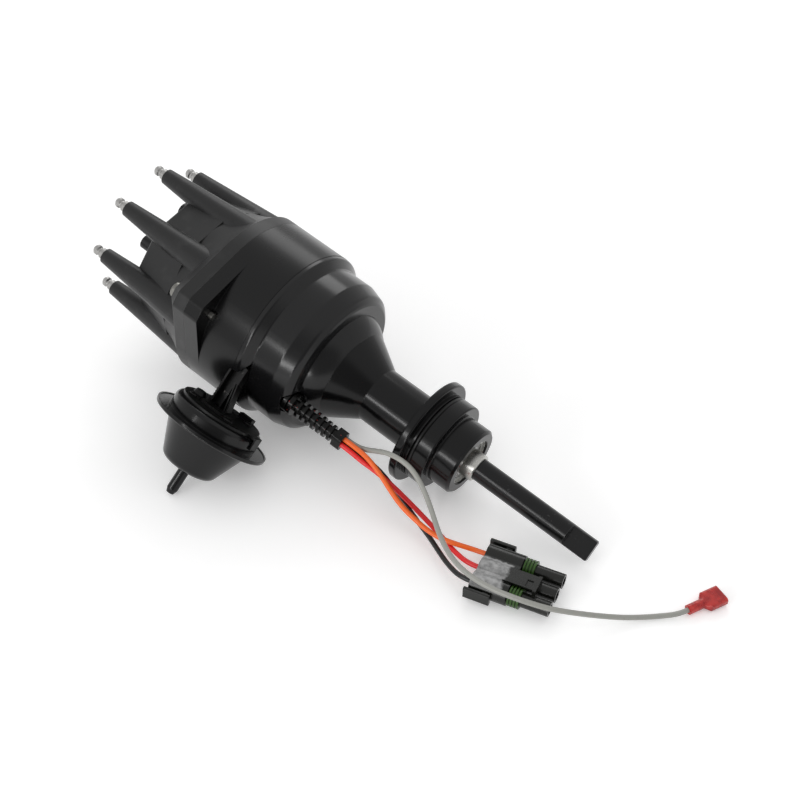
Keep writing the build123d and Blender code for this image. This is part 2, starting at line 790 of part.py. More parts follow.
with BuildPart() as rotor:
    with BuildSketch(station(rotor_disc_top)):
        Circle(rotor_disc_radius)
    extrude(amount=rotor_disc_thickness)
    fillet(rotor.faces().sort_by(shaft_axis)[0].edges(), 1.0)
    with BuildSketch(station(rotor_disc_top + rotor_disc_thickness)):
        with PolarLocations(leg_circle, 2):
            Circle(leg_radius)
    extrude(amount=base_plate_seat - rotor_disc_top - rotor_disc_thickness)
    with BuildSketch(station(rotor_disc_top)):
        Circle(rotor_hub_radius)
    extrude(amount=arm_top - rotor_disc_top)
    with BuildSketch(station(arm_top + 4.0, tower_angle)):
        with Locations((rotor_reach / 2, 0)):
            Rectangle(rotor_reach - 3, 2 * arm_half_width)
    extrude(amount=-4.0)
    with BuildSketch(station(arm_top + 4.0, tower_angle)):
        with Locations((rotor_reach / 4, 0)):
            Rectangle(rotor_reach / 2, 2.5)
    extrude(amount=rotor_disc_top - arm_top - 4.0)
rotor.part.label = "rotor"
export_step(rotor.part, "parts/rotor.step")

with BuildPart() as rotor_contact:
    with BuildSketch(station(arm_top, tower_angle)):
        with Locations((rotor_reach / 2 - 2, 0)):
            Rectangle(rotor_reach + 4, 2 * arm_half_width - 3)
        Circle(rotor_hub_radius - 2)
        Circle(rotor_reach, mode=Mode.INTERSECT)
    extrude(amount=-strip_thickness)
rotor_contact.part.label = "rotor_contact"
export_step(rotor_contact.part, "parts/rotor_contact.step")

with BuildPart() as rotor_screws:
    with BuildSketch(station(rotor_disc_top)):
        with PolarLocations(leg_circle, 2):
            Circle(2.8)
    extrude(amount=-2.2)
    fillet(rotor_screws.faces().sort_by(shaft_axis)[:2].edges(), 0.8)
rotor_screws.part.label = "rotor_screws"
export_step(rotor_screws.part, "parts/rotor_screws.step")

# ==== pickup: plate that the vacuum rod turns, coil, magnet, and the module below ====
plate_radius = 40.0
rod_low = plate_top - 2.5
rod_thickness = 1.2
rod_top = rod_low - rod_thickness
rod_pin_radius = 1.5
rod_pin_length = plate_top - rod_top + 1.0

with BuildPart() as pickup_plate:
    with BuildSketch(station(plate_top)):
        Circle(plate_radius)
        Circle(hub_radius + running_fit, mode=Mode.SUBTRACT)
    extrude(amount=plate_thickness)
    with BuildSketch(station(plate_top)):
        with Locations((canister_offset, 0)):
            Circle(rod_pin_radius)
    extrude(amount=-rod_pin_length)
pickup_plate.part.label = "pickup_plate"
export_step(pickup_plate.part, "parts/pickup_plate.step")

with BuildPart() as plate_clip:
    with BuildSketch(station(clip_low)):
        Circle(hub_radius + 2.2)
        Circle(hub_radius - retaining_clip_depth, mode=Mode.SUBTRACT)
        with Locations((hub_radius, 0)):
            Rectangle(8, 5, mode=Mode.SUBTRACT)
    extrude(amount=-clip_thickness)
plate_clip.part.label = "plate_clip"
export_step(plate_clip.part, "parts/plate_clip.step")

pickup_angle = 180.0
pickup_air_gap = 0.5
core_inner = paddle_radius + pickup_air_gap
coil_inner = core_inner + 3.0
coil_outer = coil_inner + 8.0
with BuildPart() as pickup_coil:
    pickup_side = Plane(origin=place(plate_top), x_dir=around(pickup_angle), z_dir=axis_dir)
    with BuildSketch(pickup_side):
        with Locations(((coil_inner + coil_outer) / 2, 0)):
            RectangleRounded(coil_outer - coil_inner, 14, 2)
    extrude(amount=-10)
    with BuildSketch(station(paddle_first, pickup_angle)):
        with Locations(((core_inner + coil_inner) / 2, 0)):
            Rectangle(coil_inner - core_inner, 3)
    extrude(amount=paddle_length - 2)
pickup_coil.part.label = "pickup_coil"
export_step(pickup_coil.part, "parts/pickup_coil.step")

with BuildPart() as pickup_magnet:
    with BuildSketch(station(plate_top, pickup_angle)):
        with Locations((coil_outer + 3, 0)):
            Rectangle(6, 12)
    extrude(amount=-7)
    fillet(pickup_magnet.edges().filter_by(Axis(tuple(place(0)), tuple(axis_dir))), 1.0)
pickup_magnet.part.label = "pickup_magnet"
export_step(pickup_magnet.part, "parts/pickup_magnet.step")

module_height = 12.0
module_inner = hub_foot_radius + 2.0
module_outer = bulge_bore - 3.7
module_span = 150.0
with BuildPart() as ignition_module:
    with BuildSketch(station(inner_floor, 180 - module_span / 2)) as outline:
        with BuildLine():
            outside = CenterArc((0, 0), module_outer, 0, module_span)
            inside = CenterArc((0, 0), module_inner, 0, module_span)
            Line(outside @ 0, inside @ 0)
            Line(outside @ 1, inside @ 1)
        make_face()
        fillet(outline.vertices(), 3)
        with PolarLocations((module_inner + module_outer) / 2, 2, start_angle=15, angular_range=120,
                            endpoint=True):
            Circle(1.6, mode=Mode.SUBTRACT)
    extrude(amount=-module_height)
ignition_module.part.label = "ignition_module"
export_step(ignition_module.part, "parts/ignition_module.step")

with BuildPart() as module_screws:
    for turn in (15, 135):
        with BuildSketch(station(inner_floor, 180 - module_span / 2 + turn)):
            with Locations(((module_inner + module_outer) / 2, 0)):
                Circle(1.6 - running_fit)
        extrude(amount=-module_height)
        with BuildSketch(station(inner_floor - module_height, 180 - module_span / 2 + turn)):
            with Locations(((module_inner + module_outer) / 2, 0)):
                Circle(3.0)
        extrude(amount=-1.6)
module_screws.part.label = "module_screws"
export_step(module_screws.part, "parts/module_screws.step")

# ==== vacuum canister: two pressed shells, the arm into the housing, and the rod ====
rim_low = canister_rim_level - canister_rim_thickness / 2
rim_high = canister_rim_level + canister_rim_thickness / 2
cup_end = canister_rim_level + cup_depth
cover_end = rim_low - cover_height
cover_edge = 3.0

with BuildPart() as canister_cup:
    with BuildSketch(canister_side):
        with BuildLine():
            Polyline(
                (rim_low, canister_rim_radius),
                (rim_high, canister_rim_radius),
                (rim_high, cup_top_radius),
                (cup_end, cup_end_radius),
                (cup_end, nipple_root_radius),
                (cup_end - sheet_wall, nipple_root_radius),
                (cup_end - sheet_wall, cup_end_radius - sheet_wall),
                (rim_high - sheet_wall, cup_top_radius - sheet_wall),
                (rim_high - sheet_wall, canister_rim_radius - sheet_wall),
                (rim_low, canister_rim_radius - sheet_wall),
                close=True,
            )
        make_face()
        fillet(corner(cup_end, cup_end_radius), 5)
        fillet(corner(cup_end - sheet_wall, cup_end_radius - sheet_wall), 4)
        fillet(corner(rim_high, canister_rim_radius), 0.9)
        fillet(corner(rim_high, cup_top_radius), 1.2)
    revolve(axis=canister_axis)
canister_cup.part.label = "canister_cup"
export_step(canister_cup.part, "parts/canister_cup.step")

rod_hole = 3.2
rod_station = (rod_low + rod_top) / 2
rod_offset = rod_station - canister_station
cover_flange = canister_rim_radius - sheet_wall
with BuildPart() as canister_cover:
    with BuildSketch(canister_side):
        with BuildLine():
            Polyline(
                (rim_high - sheet_wall, cover_flange),
                (rim_high - sheet_wall, cover_radius - sheet_wall),
                (cover_end + sheet_wall, cover_radius - sheet_wall),
                (cover_end + sheet_wall, 0),
                (cover_end, 0),
                (cover_end, cover_radius),
                (rim_high - 2 * sheet_wall, cover_radius),
                (rim_high - 2 * sheet_wall, cover_flange),
                close=True,
            )
        make_face()
        fillet(corner(cover_end, cover_radius), cover_edge)
        fillet(corner(cover_end + sheet_wall, cover_radius - sheet_wall), cover_edge - sheet_wall)
    revolve(axis=canister_axis)
    with BuildSketch(canister_level(cover_end, rod_offset)):
        Circle(rod_hole)
    extrude(amount=2 * sheet_wall, mode=Mode.SUBTRACT)
canister_cover.part.label = "canister_cover"
export_step(canister_cover.part, "parts/canister_cover.step")

nipple_taper = 2.6
nipple_end_radius = 2.2
with BuildPart() as vacuum_nipple:
    with BuildSketch(canister_side):
        with BuildLine():
            Polyline(
                (cup_end - sheet_wall, nipple_bore),
                (cup_end - sheet_wall, nipple_root_radius),
                (cup_end, nipple_root_radius),
                (cup_end, nipple_radius),
                (nipple_tip - nipple_taper, nipple_radius),
                (nipple_tip, nipple_end_radius),
                (nipple_tip, nipple_bore),
                close=True,
            )
        make_face()
        fillet(corner(nipple_tip - nipple_taper, nipple_radius), 1.0)
    revolve(axis=canister_axis)
vacuum_nipple.part.label = "vacuum_nipple"
export_step(vacuum_nipple.part, "parts/vacuum_nipple.step")

# arm: a channel with its open side to the flank, from the cover into the housing's slot
arm_inner_end = 25.0
foot_radius = 23.6
foot_thickness = 1.5
rivet_radius = 2.4
rivet_places = [(11, 12), (11, -12), (-14, 12), (-14, -12)]
arm_bend_level = 35.0
arm_flare = 3.6
arm_fold = 2.3
fold_groove_near = 0.85
fold_groove_far = 1.45
fold_groove_depth = 1.2
tooth_count = 9
tooth_pitch = 1.8
tooth_depth = 0.6
foot_plate_thickness = 1.1
foot_bump_radius = 4.0
foot_bump_height = 2.4
foot_tab_height = 2.2
edge_tab_width = 7.0
arm_back = Plane(
    origin=place(0, canister_offset - arm_thickness / 2), x_dir=axis_dir, z_dir=flank_dir
)
arm_left = arm_station - arm_width / 2
arm_right = arm_station + arm_width / 2
arm_sides = [
    (arm_left, -arm_inner_end),
    (arm_right, -arm_inner_end),
    (arm_right, -arm_bend_level),
    (arm_right + arm_flare, -cover_end),
    (arm_left, -cover_end),
]
with BuildPart() as canister_arm:
    with BuildSketch(arm_back):
        Polygon(*arm_sides, align=None)
    extrude(amount=arm_wall)
    with BuildSketch(arm_back):
        Polygon(*arm_sides, align=None)
        Polygon(
            (arm_left + arm_wall, -arm_inner_end),
            (arm_right - arm_fold, -arm_inner_end),
            (arm_right - arm_fold, -arm_bend_level),
            (arm_right - arm_fold + arm_flare, -cover_end),
            (arm_left + arm_wall, -cover_end),
            align=None,
            mode=Mode.SUBTRACT,
        )
    extrude(amount=arm_thickness)
    # the groove in the folded edge, and the saw teeth of the sheared edge
    with BuildSketch(arm_back.offset(arm_thickness)):
        Polygon(
            (arm_right - fold_groove_far, -arm_bend_level),
            (arm_right - fold_groove_near, -arm_bend_level),
            (arm_right - fold_groove_near + arm_flare, -cover_end),
            (arm_right - fold_groove_far + arm_flare, -cover_end),
            align=None,
        )
    extrude(amount=-fold_groove_depth, mode=Mode.SUBTRACT)
    for number in range(tooth_count):
        tooth_level = -arm_bend_level - 1.5 - number * tooth_pitch
        with BuildSketch(arm_back.offset(arm_thickness)):
            with Locations((arm_left, tooth_level)):
                Rectangle(2 * arm_wall, tooth_pitch / 2)
        extrude(amount=-tooth_depth, mode=Mode.SUBTRACT)
    with BuildSketch(canister_level(cover_end)) as foot:
        Circle(foot_radius)
        with Locations((rod_offset, 0)):
            Circle(rod_hole, mode=Mode.SUBTRACT)
        with Locations(*rivet_places):
            Circle(rivet_radius / 2, mode=Mode.SUBTRACT)
    extrude(amount=-foot_thickness)
    # raised plate round the arm, round bump, bent tab, and the tab over the cover's edge
    with BuildSketch(canister_level(cover_end - foot_thickness)):
        with Locations((-1.5, 1)):
            RectangleRounded(17, 23, 3)
        with Locations((rod_offset, 0)):
            Circle(rod_hole, mode=Mode.SUBTRACT)
        with Locations(*rivet_places):
            Circle(rivet_radius + gap, mode=Mode.SUBTRACT)
    extrude(amount=-foot_plate_thickness)
    with BuildSketch(canister_level(cover_end - foot_thickness)):
        with Locations((-16.5, 1)):
            Circle(foot_bump_radius)
    extrude(amount=-foot_bump_height, taper=25)
    with BuildSketch(canister_level(cover_end - foot_thickness)):
        with Locations((6, -19)):
            Rectangle(9, 4.5)
    extrude(amount=-foot_tab_height)
    with BuildSketch(canister_level(cover_end - foot_thickness)):
        with Locations(((foot_radius + cover_radius + sheet_wall) / 2 - 1, 1)):
            Rectangle(cover_radius + sheet_wall - foot_radius + 2, edge_tab_width)
    extrude(amount=foot_thickness)
    with BuildSketch(canister_level(cover_end - foot_thickness)):
        with Locations((cover_radius + sheet_wall / 2, 1)):
            Rectangle(sheet_wall, edge_tab_width)
    extrude(amount=foot_thickness + cover_height - 3)
canister_arm.part.label = "canister_arm"
export_step(canister_arm.part, "parts/canister_arm.step")

with BuildPart() as arm_rivets:
    with BuildSketch(canister_level(cover_end - foot_thickness)):
        with Locations(*rivet_places):
            Circle(rivet_radius)
    extrude(amount=-1.2)
    fillet(arm_rivets.faces().sort_by(canister_axis)[:4].edges(), 0.8)
    with BuildSketch(canister_level(cover_end - foot_thickness)):
        with Locations(*rivet_places):
            Circle(rivet_radius / 2)
    extrude(amount=foot_thickness)
arm_rivets.part.label = "arm_rivets"
export_step(arm_rivets.part, "parts/arm_rivets.step")

# ---- diaphragm, its rod to the pickup plate, and its spring: they move together ----
rod_width = 3.0
eye_radius = 3.4
eye_slot = 1.0
vacuum_stroke = 5.3
diaphragm_radius = 22.3
diaphragm_level = rim_low - 2.4
diaphragm_thickness = 1.4
with BuildPart() as vacuum_rod:
    with BuildSketch(Plane(origin=place(rod_top), x_dir=flank_dir, z_dir=axis_dir)) as strip:
        with Locations((canister_offset, diaphragm_level / 2)):
            Rectangle(rod_width, diaphragm_level)
        with Locations((canister_offset, 0)):
            Circle(eye_radius)
            SlotCenterToCenter(eye_slot, 2 * (rod_pin_radius + running_fit), mode=Mode.SUBTRACT)
    extrude(amount=rod_thickness)
vacuum_rod.part.label = "vacuum_rod"
export_step(vacuum_rod.part, "parts/vacuum_rod.step")

with BuildPart() as diaphragm:
    with BuildSketch(canister_side):
        with BuildLine():
            Polyline(
                (diaphragm_level, 0),
                (diaphragm_level, 16),
                (diaphragm_level - 1.2, 19),
                (diaphragm_level, diaphragm_radius),
                (diaphragm_level + diaphragm_thickness, diaphragm_radius),
                (diaphragm_level + diaphragm_thickness, 0),
                close=True,
            )
        make_face()
    revolve(axis=canister_axis)
diaphragm.part.label = "diaphragm"
export_step(diaphragm.part, "parts/diaphragm.step")

return_spring_radius = 8.0
return_spring_wire = 1.2
return_spring_pitch = 3.0
spring_seat = diaphragm_level + diaphragm_thickness
spring_length = cup_end - sheet_wall - vacuum_stroke - spring_seat
with BuildPart() as return_spring:
    with BuildSketch(canister_level(spring_seat)):
        Circle(return_spring_radius - return_spring_wire / 4)
        Circle(return_spring_radius - return_spring_wire, mode=Mode.SUBTRACT)
    extrude(amount=spring_length)
    for number in range(int(spring_length / return_spring_pitch)):
        with BuildSketch(canister_level(spring_seat + (number + 0.5) * return_spring_pitch)):
            Circle(return_spring_radius)
            Circle(return_spring_radius - return_spring_wire, mode=Mode.SUBTRACT)
        extrude(amount=return_spring_wire)
return_spring.part.label = "return_spring"
export_step(return_spring.part, "parts/return_spring.step")

# ==== strain relief: a flattened boot with ribs, seated in the bowl's pocket ====
relief_end = -30.6
relief_end_flank = 24.0
relief_end_side = 28.0
relief_width = 6.0
relief_depth = 5.2
relief_end_width = 4.9
relief_end_depth = 4.4
rib_count = 7
rib_pitch = 3.6
rib_length = 1.7
core_width = 3.3
core_depth = 3.1
block_length = 5.4
relief_root = place(step_face - pocket_depth + 0.8, relief_flank, relief_side)
relief_tip = place(relief_end, relief_end_flank, relief_end_side)
relief_length = (relief_tip - relief_root).length
relief_direction = (relief_tip - relief_root).normalized()


def along_relief(distance):
    """A plane across the strain relief; x points away from the shaft's axis sideways."""
    centre = relief_root + relief_direction * distance
    return Plane(origin=centre, x_dir=around(135), z_dir=relief_direction)


collar_start = 3.4
collar_step = 2.6
with BuildPart() as strain_relief:
    with BuildSketch(along_relief(0)):
        Ellipse(relief_width + 0.6, relief_depth + 0.6)
    extrude(amount=2.4)
    with BuildSketch(along_relief(2.4)):
        Ellipse(core_width, core_depth)
    extrude(amount=relief_length - block_length - 2.4)
    with BuildSketch(along_relief(collar_start)):
        Ellipse(relief_width + 0.8, relief_depth + 0.8)
    extrude(amount=collar_step)
    first_rib = relief_length - block_length - rib_count * rib_pitch
    for number in range(rib_count):
        share = number / rib_count
        with BuildSketch(along_relief(first_rib + number * rib_pitch)):
            Ellipse(
                relief_width + (relief_end_width - relief_width) * share,
                relief_depth + (relief_end_depth - relief_depth) * share,
            )
        extrude(amount=rib_length)
    with BuildSketch(along_relief(relief_length - block_length)):
        RectangleRounded(2 * relief_end_width, 2 * relief_end_depth, 2.4)
    extrude(amount=block_length)
strain_relief.part.label = "strain_relief"
export_step(strain_relief.part, "parts/strain_relief.step")

# ==== connector on the table: lobed shell, block, seals, fingers, latches ====
connector_x = 65.3
connector_y = -44.7
connector_turn = 12.6
lobe_pitch = 10.0
lobe_middle = 1.4
lobe_radius = 6.0
lobe_height = 6.5
lobe_length = 20.0
finger_radius = 3.9
finger_bore = 2.6
finger_start = 18.0
finger_end = 42.0
seal_radius = 5.5
seal_start = lobe_length + 0.4
block_start = 15.0
block_end = 33.0
block_half = 4.7
block_middle = -1.5
block_foot = 19.0
hasp_end = 1.8
hasp_low = 7.5
block_height = 13.4
latch_reach = 3.0
table_level = -table_drop
lobe_places = [lobe_middle + step * lobe_pitch for step in (-1, 0, 1)]


def connector_across(distance):
    """A plane across the connector: x to its left side and y up, from the table."""
    turn = radians(connector_turn)
    forward = Vector(cos(turn), sin(turn), 0)
    rear = Vector(connector_x, connector_y, table_level)
    return Plane(origin=rear + forward * distance, x_dir=(sin(turn), -cos(turn), 0), z_dir=-forward)


with BuildPart() as connector_shell:
    with BuildSketch(connector_across(0)) as lobes:
        with Locations(*[(-place_at, lobe_height) for place_at in lobe_places]):
            Circle(lobe_radius)
        with Locations((-lobe_middle, lobe_height)):
            Rectangle(2 * lobe_pitch, 2 * lobe_radius - 3)
    extrude(amount=-lobe_length)
    with BuildSketch(connector_across(finger_start)):
        with Locations(*[(-place_at, lobe_height) for place_at in lobe_places]):
            Circle(finger_radius)
    extrude(amount=finger_start - finger_end)
    # the hasp: a foot on the shell, a flat bar over the seals and a lip in front of them
    hasp_under = lobe_height + seal_radius + gap
    with BuildSketch(connector_across(block_start)):
        with Locations((-block_middle, (lobe_height + block_height) / 2)):
            Rectangle(2 * block_half, block_height - lobe_height)
    extrude(amount=block_start - block_foot)
    with BuildSketch(connector_across(block_start)) as bar:
        with Locations((-block_middle, (hasp_under + block_height) / 2)):
            Rectangle(2 * block_half, block_height - hasp_under)
    extrude(amount=block_start - block_end)
    with BuildSketch(connector_across(block_end)):
        with Locations((-block_middle, (hasp_low + block_height) / 2)):
            Rectangle(2 * block_half + 1.4, block_height - hasp_low)
    extrude(amount=hasp_end)
    with BuildSketch(connector_across(block_end - hasp_end - 1.2)):
        with Locations((-block_middle + 1.5, block_height)):
            Rectangle(4.6, 1.2)
    extrude(amount=3.2, mode=Mode.SUBTRACT)
    with BuildSketch(connector_across(0)):
        with Locations(*[(-place_at, lobe_height) for place_at in lobe_places]):
            Circle(finger_bore)
    extrude(amount=-finger_end, mode=Mode.SUBTRACT)
connector_shell.part.label = "connector_shell"
export_step(connector_shell.part, "parts/connector_shell.step")

with BuildPart() as connector_seals:
    for number in range(4):
        with BuildSketch(connector_across(seal_start + gap + number * 1.7)):
            with Locations(*[(-place_at, lobe_height) for place_at in lobe_places]):
                Circle(seal_radius)
            with Locations(*[(-place_at, lobe_height) for place_at in lobe_places]):
                Circle(finger_radius, mode=Mode.SUBTRACT)
        extrude(amount=-0.9)
    with BuildSketch(connector_across(seal_start + gap)):
        with Locations(*[(-place_at, lobe_height) for place_at in lobe_places]):
            Circle(seal_radius - 0.9)
        with Locations(*[(-place_at, lobe_height) for place_at in lobe_places]):
            Circle(finger_radius, mode=Mode.SUBTRACT)
    extrude(amount=-6.0)
connector_seals.part.label = "connector_seals"
export_step(connector_seals.part, "parts/connector_seals.step")

latch_length = 14.0
latch_thickness = 2.2
with BuildPart() as connector_latches:
    for side in (-1, 1):
        edge = side * (lobe_pitch + lobe_radius) - lobe_middle
        with BuildSketch(connector_across(-1.5)):
            with Locations((edge + side * (latch_reach - latch_thickness / 2), lobe_height)):
                RectangleRounded(latch_thickness, 7.0, 0.8)
        extrude(amount=-latch_length)
        with BuildSketch(connector_across(8)):
            with Locations((edge + side * (latch_reach - latch_thickness) / 2, lobe_height)):
                Rectangle(latch_reach - latch_thickness, 5.0)
        extrude(amount=-3.0)
connector_latches.part.label = "connector_latches"
export_step(connector_latches.part, "parts/connector_latches.step")

with BuildPart() as connector_terminals:
    with BuildSketch(connector_across(0)):
        with Locations(*[(-place_at, lobe_height) for place_at in lobe_places]):
            Circle(finger_bore - running_fit)
    extrude(amount=-13)
    with BuildSketch(connector_across(13)):
        with Locations(*[(-place_at, lobe_height) for place_at in lobe_places]):
            Circle(1.2)
    extrude(amount=13 - finger_end + 3)
connector_terminals.part.label = "connector_terminals"
export_step(connector_terminals.part, "parts/connector_terminals.step")

# ==== spade terminal with its moulded sleeve, at the end of the grey wire ====
spade_x = 161.0
spade_y = 1.5
spade_turn = 66.0
barrel_radius = 2.6
barrel_length = 9.5
spade_width = 11.0
spade_length = 11.3
spade_height = 4.8
blade_width = 6.3
blade_thickness = 0.8


def spade_across(distance):
    """A plane across the spade terminal: x to its side and y up, from the table."""
    turn = radians(spade_turn)
    forward = Vector(cos(turn), sin(turn), 0)
    rear = Vector(spade_x, spade_y, table_level)
    return Plane(origin=rear + forward * distance, x_dir=(sin(turn), -cos(turn), 0), z_dir=-forward)


with BuildPart() as spade_sleeve:
    with BuildSketch(spade_across(0)):
        with Locations((0, barrel_radius + 0.2)):
            Circle(barrel_radius)
    extrude(amount=-barrel_length)
    with BuildSketch(spade_across(barrel_length - 1.5)):
        with Locations((0, barrel_radius + 0.2)):
            Circle(barrel_radius - 0.4)
    with BuildSketch(spade_across(barrel_length + 1.5)):
        with Locations((0, barrel_radius + 0.2)):
            RectangleRounded(spade_width, spade_height, 1.6)
    loft()
    with BuildSketch(spade_across(barrel_length + 1.5)):
        with Locations((0, barrel_radius + 0.2)):
            RectangleRounded(spade_width, spade_height, 1.6)
    extrude(amount=-spade_length + 1.5)
    with BuildSketch(spade_across(barrel_length + spade_length)):
        with Locations((0, barrel_radius + 0.2)):
            Rectangle(spade_width - 2.4, spade_height - 2.4)
    extrude(amount=spade_length - 3, mode=Mode.SUBTRACT)
spade_sleeve.part.label = "spade_sleeve"
export_step(spade_sleeve.part, "parts/spade_sleeve.step")

with BuildPart() as spade_terminal:
    with BuildSketch(spade_across(barrel_length + 3)):
        with Locations((0, barrel_radius + 0.2)):
            Rectangle(blade_width + 1.6, blade_thickness + 1.2)
            Rectangle(blade_width, blade_thickness, mode=Mode.SUBTRACT)
    extrude(amount=3.6 - spade_length)
spade_terminal.part.label = "spade_terminal"
export_step(spade_terminal.part, "parts/spade_terminal.step")

# ==== four free wires, from the strain relief to the connector and the spade terminal ====
# A route is a list of places: x, y and the height above the table. Each wire first leaves the
# strain relief straight, and each bend of its tube is as round as its two runs allow.
wire_radius = 1.4
wire_straight = 6.5
wire_exits = {
    "wire_orange": (1.6, -1.6),
    "wire_red": (1.6, 1.8),
    "wire_black": (-1.6, 1.6),
    "wire_grey": (-1.6, -1.8),
}
wire_routes = {
    "wire_orange": [
        (-15.5, -37.4, 33.2), (-9.0, -38.4, 31.0), (-2.6, -39.4, 27.2), (3.3, -40.5, 23.0),
        (9.5, -41.9, 19.4), (15.9, -42.8, 16.4), (22.5, -43.0, 14.0), (29.6, -43.5, 12.2),
        (36.7, -43.3, 11.0), (43.6, -41.7, 10.2), (50.1, -38.6, 8.6),
    ],
    "wire_red": [
        (-16.5, -39.3, 30.0), (-9.8, -38.3, 27.4), (-2.9, -37.2, 24.0), (4.5, -36.6, 20.2),
        (11.7, -35.9, 15.7), (19.7, -35.7, 11.3), (28.4, -36.6, 8.2), (37.4, -38.8, 6.8),
        (48.0, -42.6, 6.4),
    ],
    "wire_black": [
        (-17.4, -35.2, 28.0), (-10.2, -34.3, 25.0), (-2.7, -34.6, 20.9), (4.9, -35.5, 15.9),
        (12.8, -36.6, 11.2), (21.6, -38.8, 7.5), (31.2, -41.9, 5.8), (41.2, -46.6, 5.0),
        (50.9, -51.4, 5.6),
    ],
    "wire_grey": [
        (-17.4, -33.5, 33.0), (-10.4, -33.4, 36.4), (-2.9, -33.8, 39.8), (5.3, -33.9, 40.6),
        (12.1, -33.8, 38.5), (18.6, -35.1, 34.8), (24.6, -37.4, 30.6), (30.2, -40.4, 27.0),
        (35.5, -43.9, 24.3), (41.0, -47.8, 22.3), (47.8, -52.2, 20.7), (55.7, -56.0, 19.2),
        (64.2, -58.3, 18.2), (73.5, -59.2, 17.7), (82.9, -58.6, 17.4), (92.0, -56.6, 16.9),
        (101.2, -53.3, 15.6), (110.1, -48.6, 13.3), (118.3, -42.2, 10.6), (125.5, -35.4, 7.6),
        (132.3, -28.8, 5.0), (139.3, -22.1, 3.0), (146.0, -15.4, 2.0), (152.4, -9.3, 2.0),
    ],
}


def along_plane(plane, across, up, back):
    """A point on a plane across a plug, and one straight behind it."""
    end = plane.from_local_coords(Vector(across, up, 0))
    return [end + plane.z_dir * back, end]


# Each wire also goes into its plug straight.
wire_ends = {
    "wire_orange": along_plane(connector_across(0), -lobe_places[2], lobe_height, wire_straight),
    "wire_red": along_plane(connector_across(0), -lobe_places[1], lobe_height, wire_straight),
    "wire_black": along_plane(connector_across(0), -lobe_places[0], lobe_height, wire_straight),
    "wire_grey": along_plane(spade_across(0), 0, barrel_radius + 0.2, wire_straight - 1),
}

for label, route in wire_routes.items():
    exit_flank, exit_side = wire_exits[label]
    outward = relief_direction * (flank_dir * exit_flank + canister_dir * exit_side).dot(relief_direction)
    leaving = relief_tip + flank_dir * exit_flank + canister_dir * exit_side - outward
    knots = [leaving, leaving + relief_direction * wire_straight]
    for x, y, height in route:
        knots.append(Vector(x, y, table_level + height))
    knots.extend(wire_ends[label])
    runs = [far - near for near, far in zip(knots, knots[1:])]
    radii = []
    for before, after in zip(runs, runs[1:]):
        half_turn = radians(before.get_angle(after)) / 2
        radii.append(0.45 * min(before.length, after.length) / tan(half_turn))
    with BuildPart() as wire:
        with BuildLine() as path:
            FilletPolyline(*knots, radius=radii)
        with BuildSketch(Plane(origin=path.line @ 0, z_dir=path.line % 0)):
            Circle(wire_radius)
        sweep()
    wire.part.label = label
    export_step(wire.part, f"parts/{label}.step")
    length = sum(edge.length for edge in path.edges())
    ratio = wire.part.volume / (length * pi * wire_radius**2)
    print(label, "length", round(length, 1), "volume ratio", round(ratio, 4))
    print("  radii", [round(value) for value in radii])
    print("  knots", [(round(p.X, 1), round(p.Y, 1), round(p.Z, 1)) for p in knots])
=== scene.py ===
# %% [markdown]
# # An ignition distributor, dressed for the studio
# A distributor sends the coil's spark to each cylinder in turn. It has a black cast housing,
# a moulded cap with a tower for each plug lead, a steel drive shaft, a vacuum canister at its
# side, and a short lead with a three-way plug and a spade terminal. Its solids come from the
# construction model, each where it belongs, so this script only adds the camera, the wires,
# the finishes and the light. Everything is in metres.

# %% Load the model as a fixed frame
import bpy
from math import cos, pi, radians, sin
from mathutils import Matrix, Vector


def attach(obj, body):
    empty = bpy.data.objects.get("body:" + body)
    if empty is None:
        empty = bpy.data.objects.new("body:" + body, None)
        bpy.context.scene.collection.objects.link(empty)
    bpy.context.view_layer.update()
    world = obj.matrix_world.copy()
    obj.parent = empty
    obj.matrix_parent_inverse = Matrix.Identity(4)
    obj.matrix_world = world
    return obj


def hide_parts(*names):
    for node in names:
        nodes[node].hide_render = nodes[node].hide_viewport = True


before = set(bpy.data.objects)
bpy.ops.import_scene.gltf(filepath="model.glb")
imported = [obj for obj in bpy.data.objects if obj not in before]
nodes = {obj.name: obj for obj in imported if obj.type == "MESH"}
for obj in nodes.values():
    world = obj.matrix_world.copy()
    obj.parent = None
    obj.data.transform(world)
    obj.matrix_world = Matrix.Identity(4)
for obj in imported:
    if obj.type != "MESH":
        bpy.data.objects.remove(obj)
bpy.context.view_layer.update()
print("pieces in the model:", len(nodes))

# %% [markdown]
# ## The distributor's own axes
# The part lies on its side on a table: the shaft points along X and 11.7 degrees down, and
# the canister leans over to touch the table with its nipple. Several finishes follow the
# shaft, such as turning marks, so the shaft's direction is worked out once. The housing could
# be laid level instead, but it would not rest that way.

# %% Directions of the shaft, of the flank and of the canister
lean = radians(11.698)
roll = radians(44.950)
table_height = -0.030174
shaft_line = Vector((cos(lean), 0, -sin(lean)))
upward = Vector((sin(lean), 0, cos(lean)))
flank_line = upward * cos(roll) + Vector((0, -sin(roll), 0))
canister_line = -upward * sin(roll) + Vector((0, -cos(roll), 0))
print("shaft direction:", [round(v, 4) for v in shaft_line])

# %% [markdown]
# ## Camera
# A catalogue view shows a part from above and a little to the front, through a long lens, so
# that straight edges stay straight. The camera's place is written in metres, and its
# three axes as a rotation matrix: right, up and backwards. A Track To constraint would aim it
# as well, but a matrix also fixes the camera's own tilt.

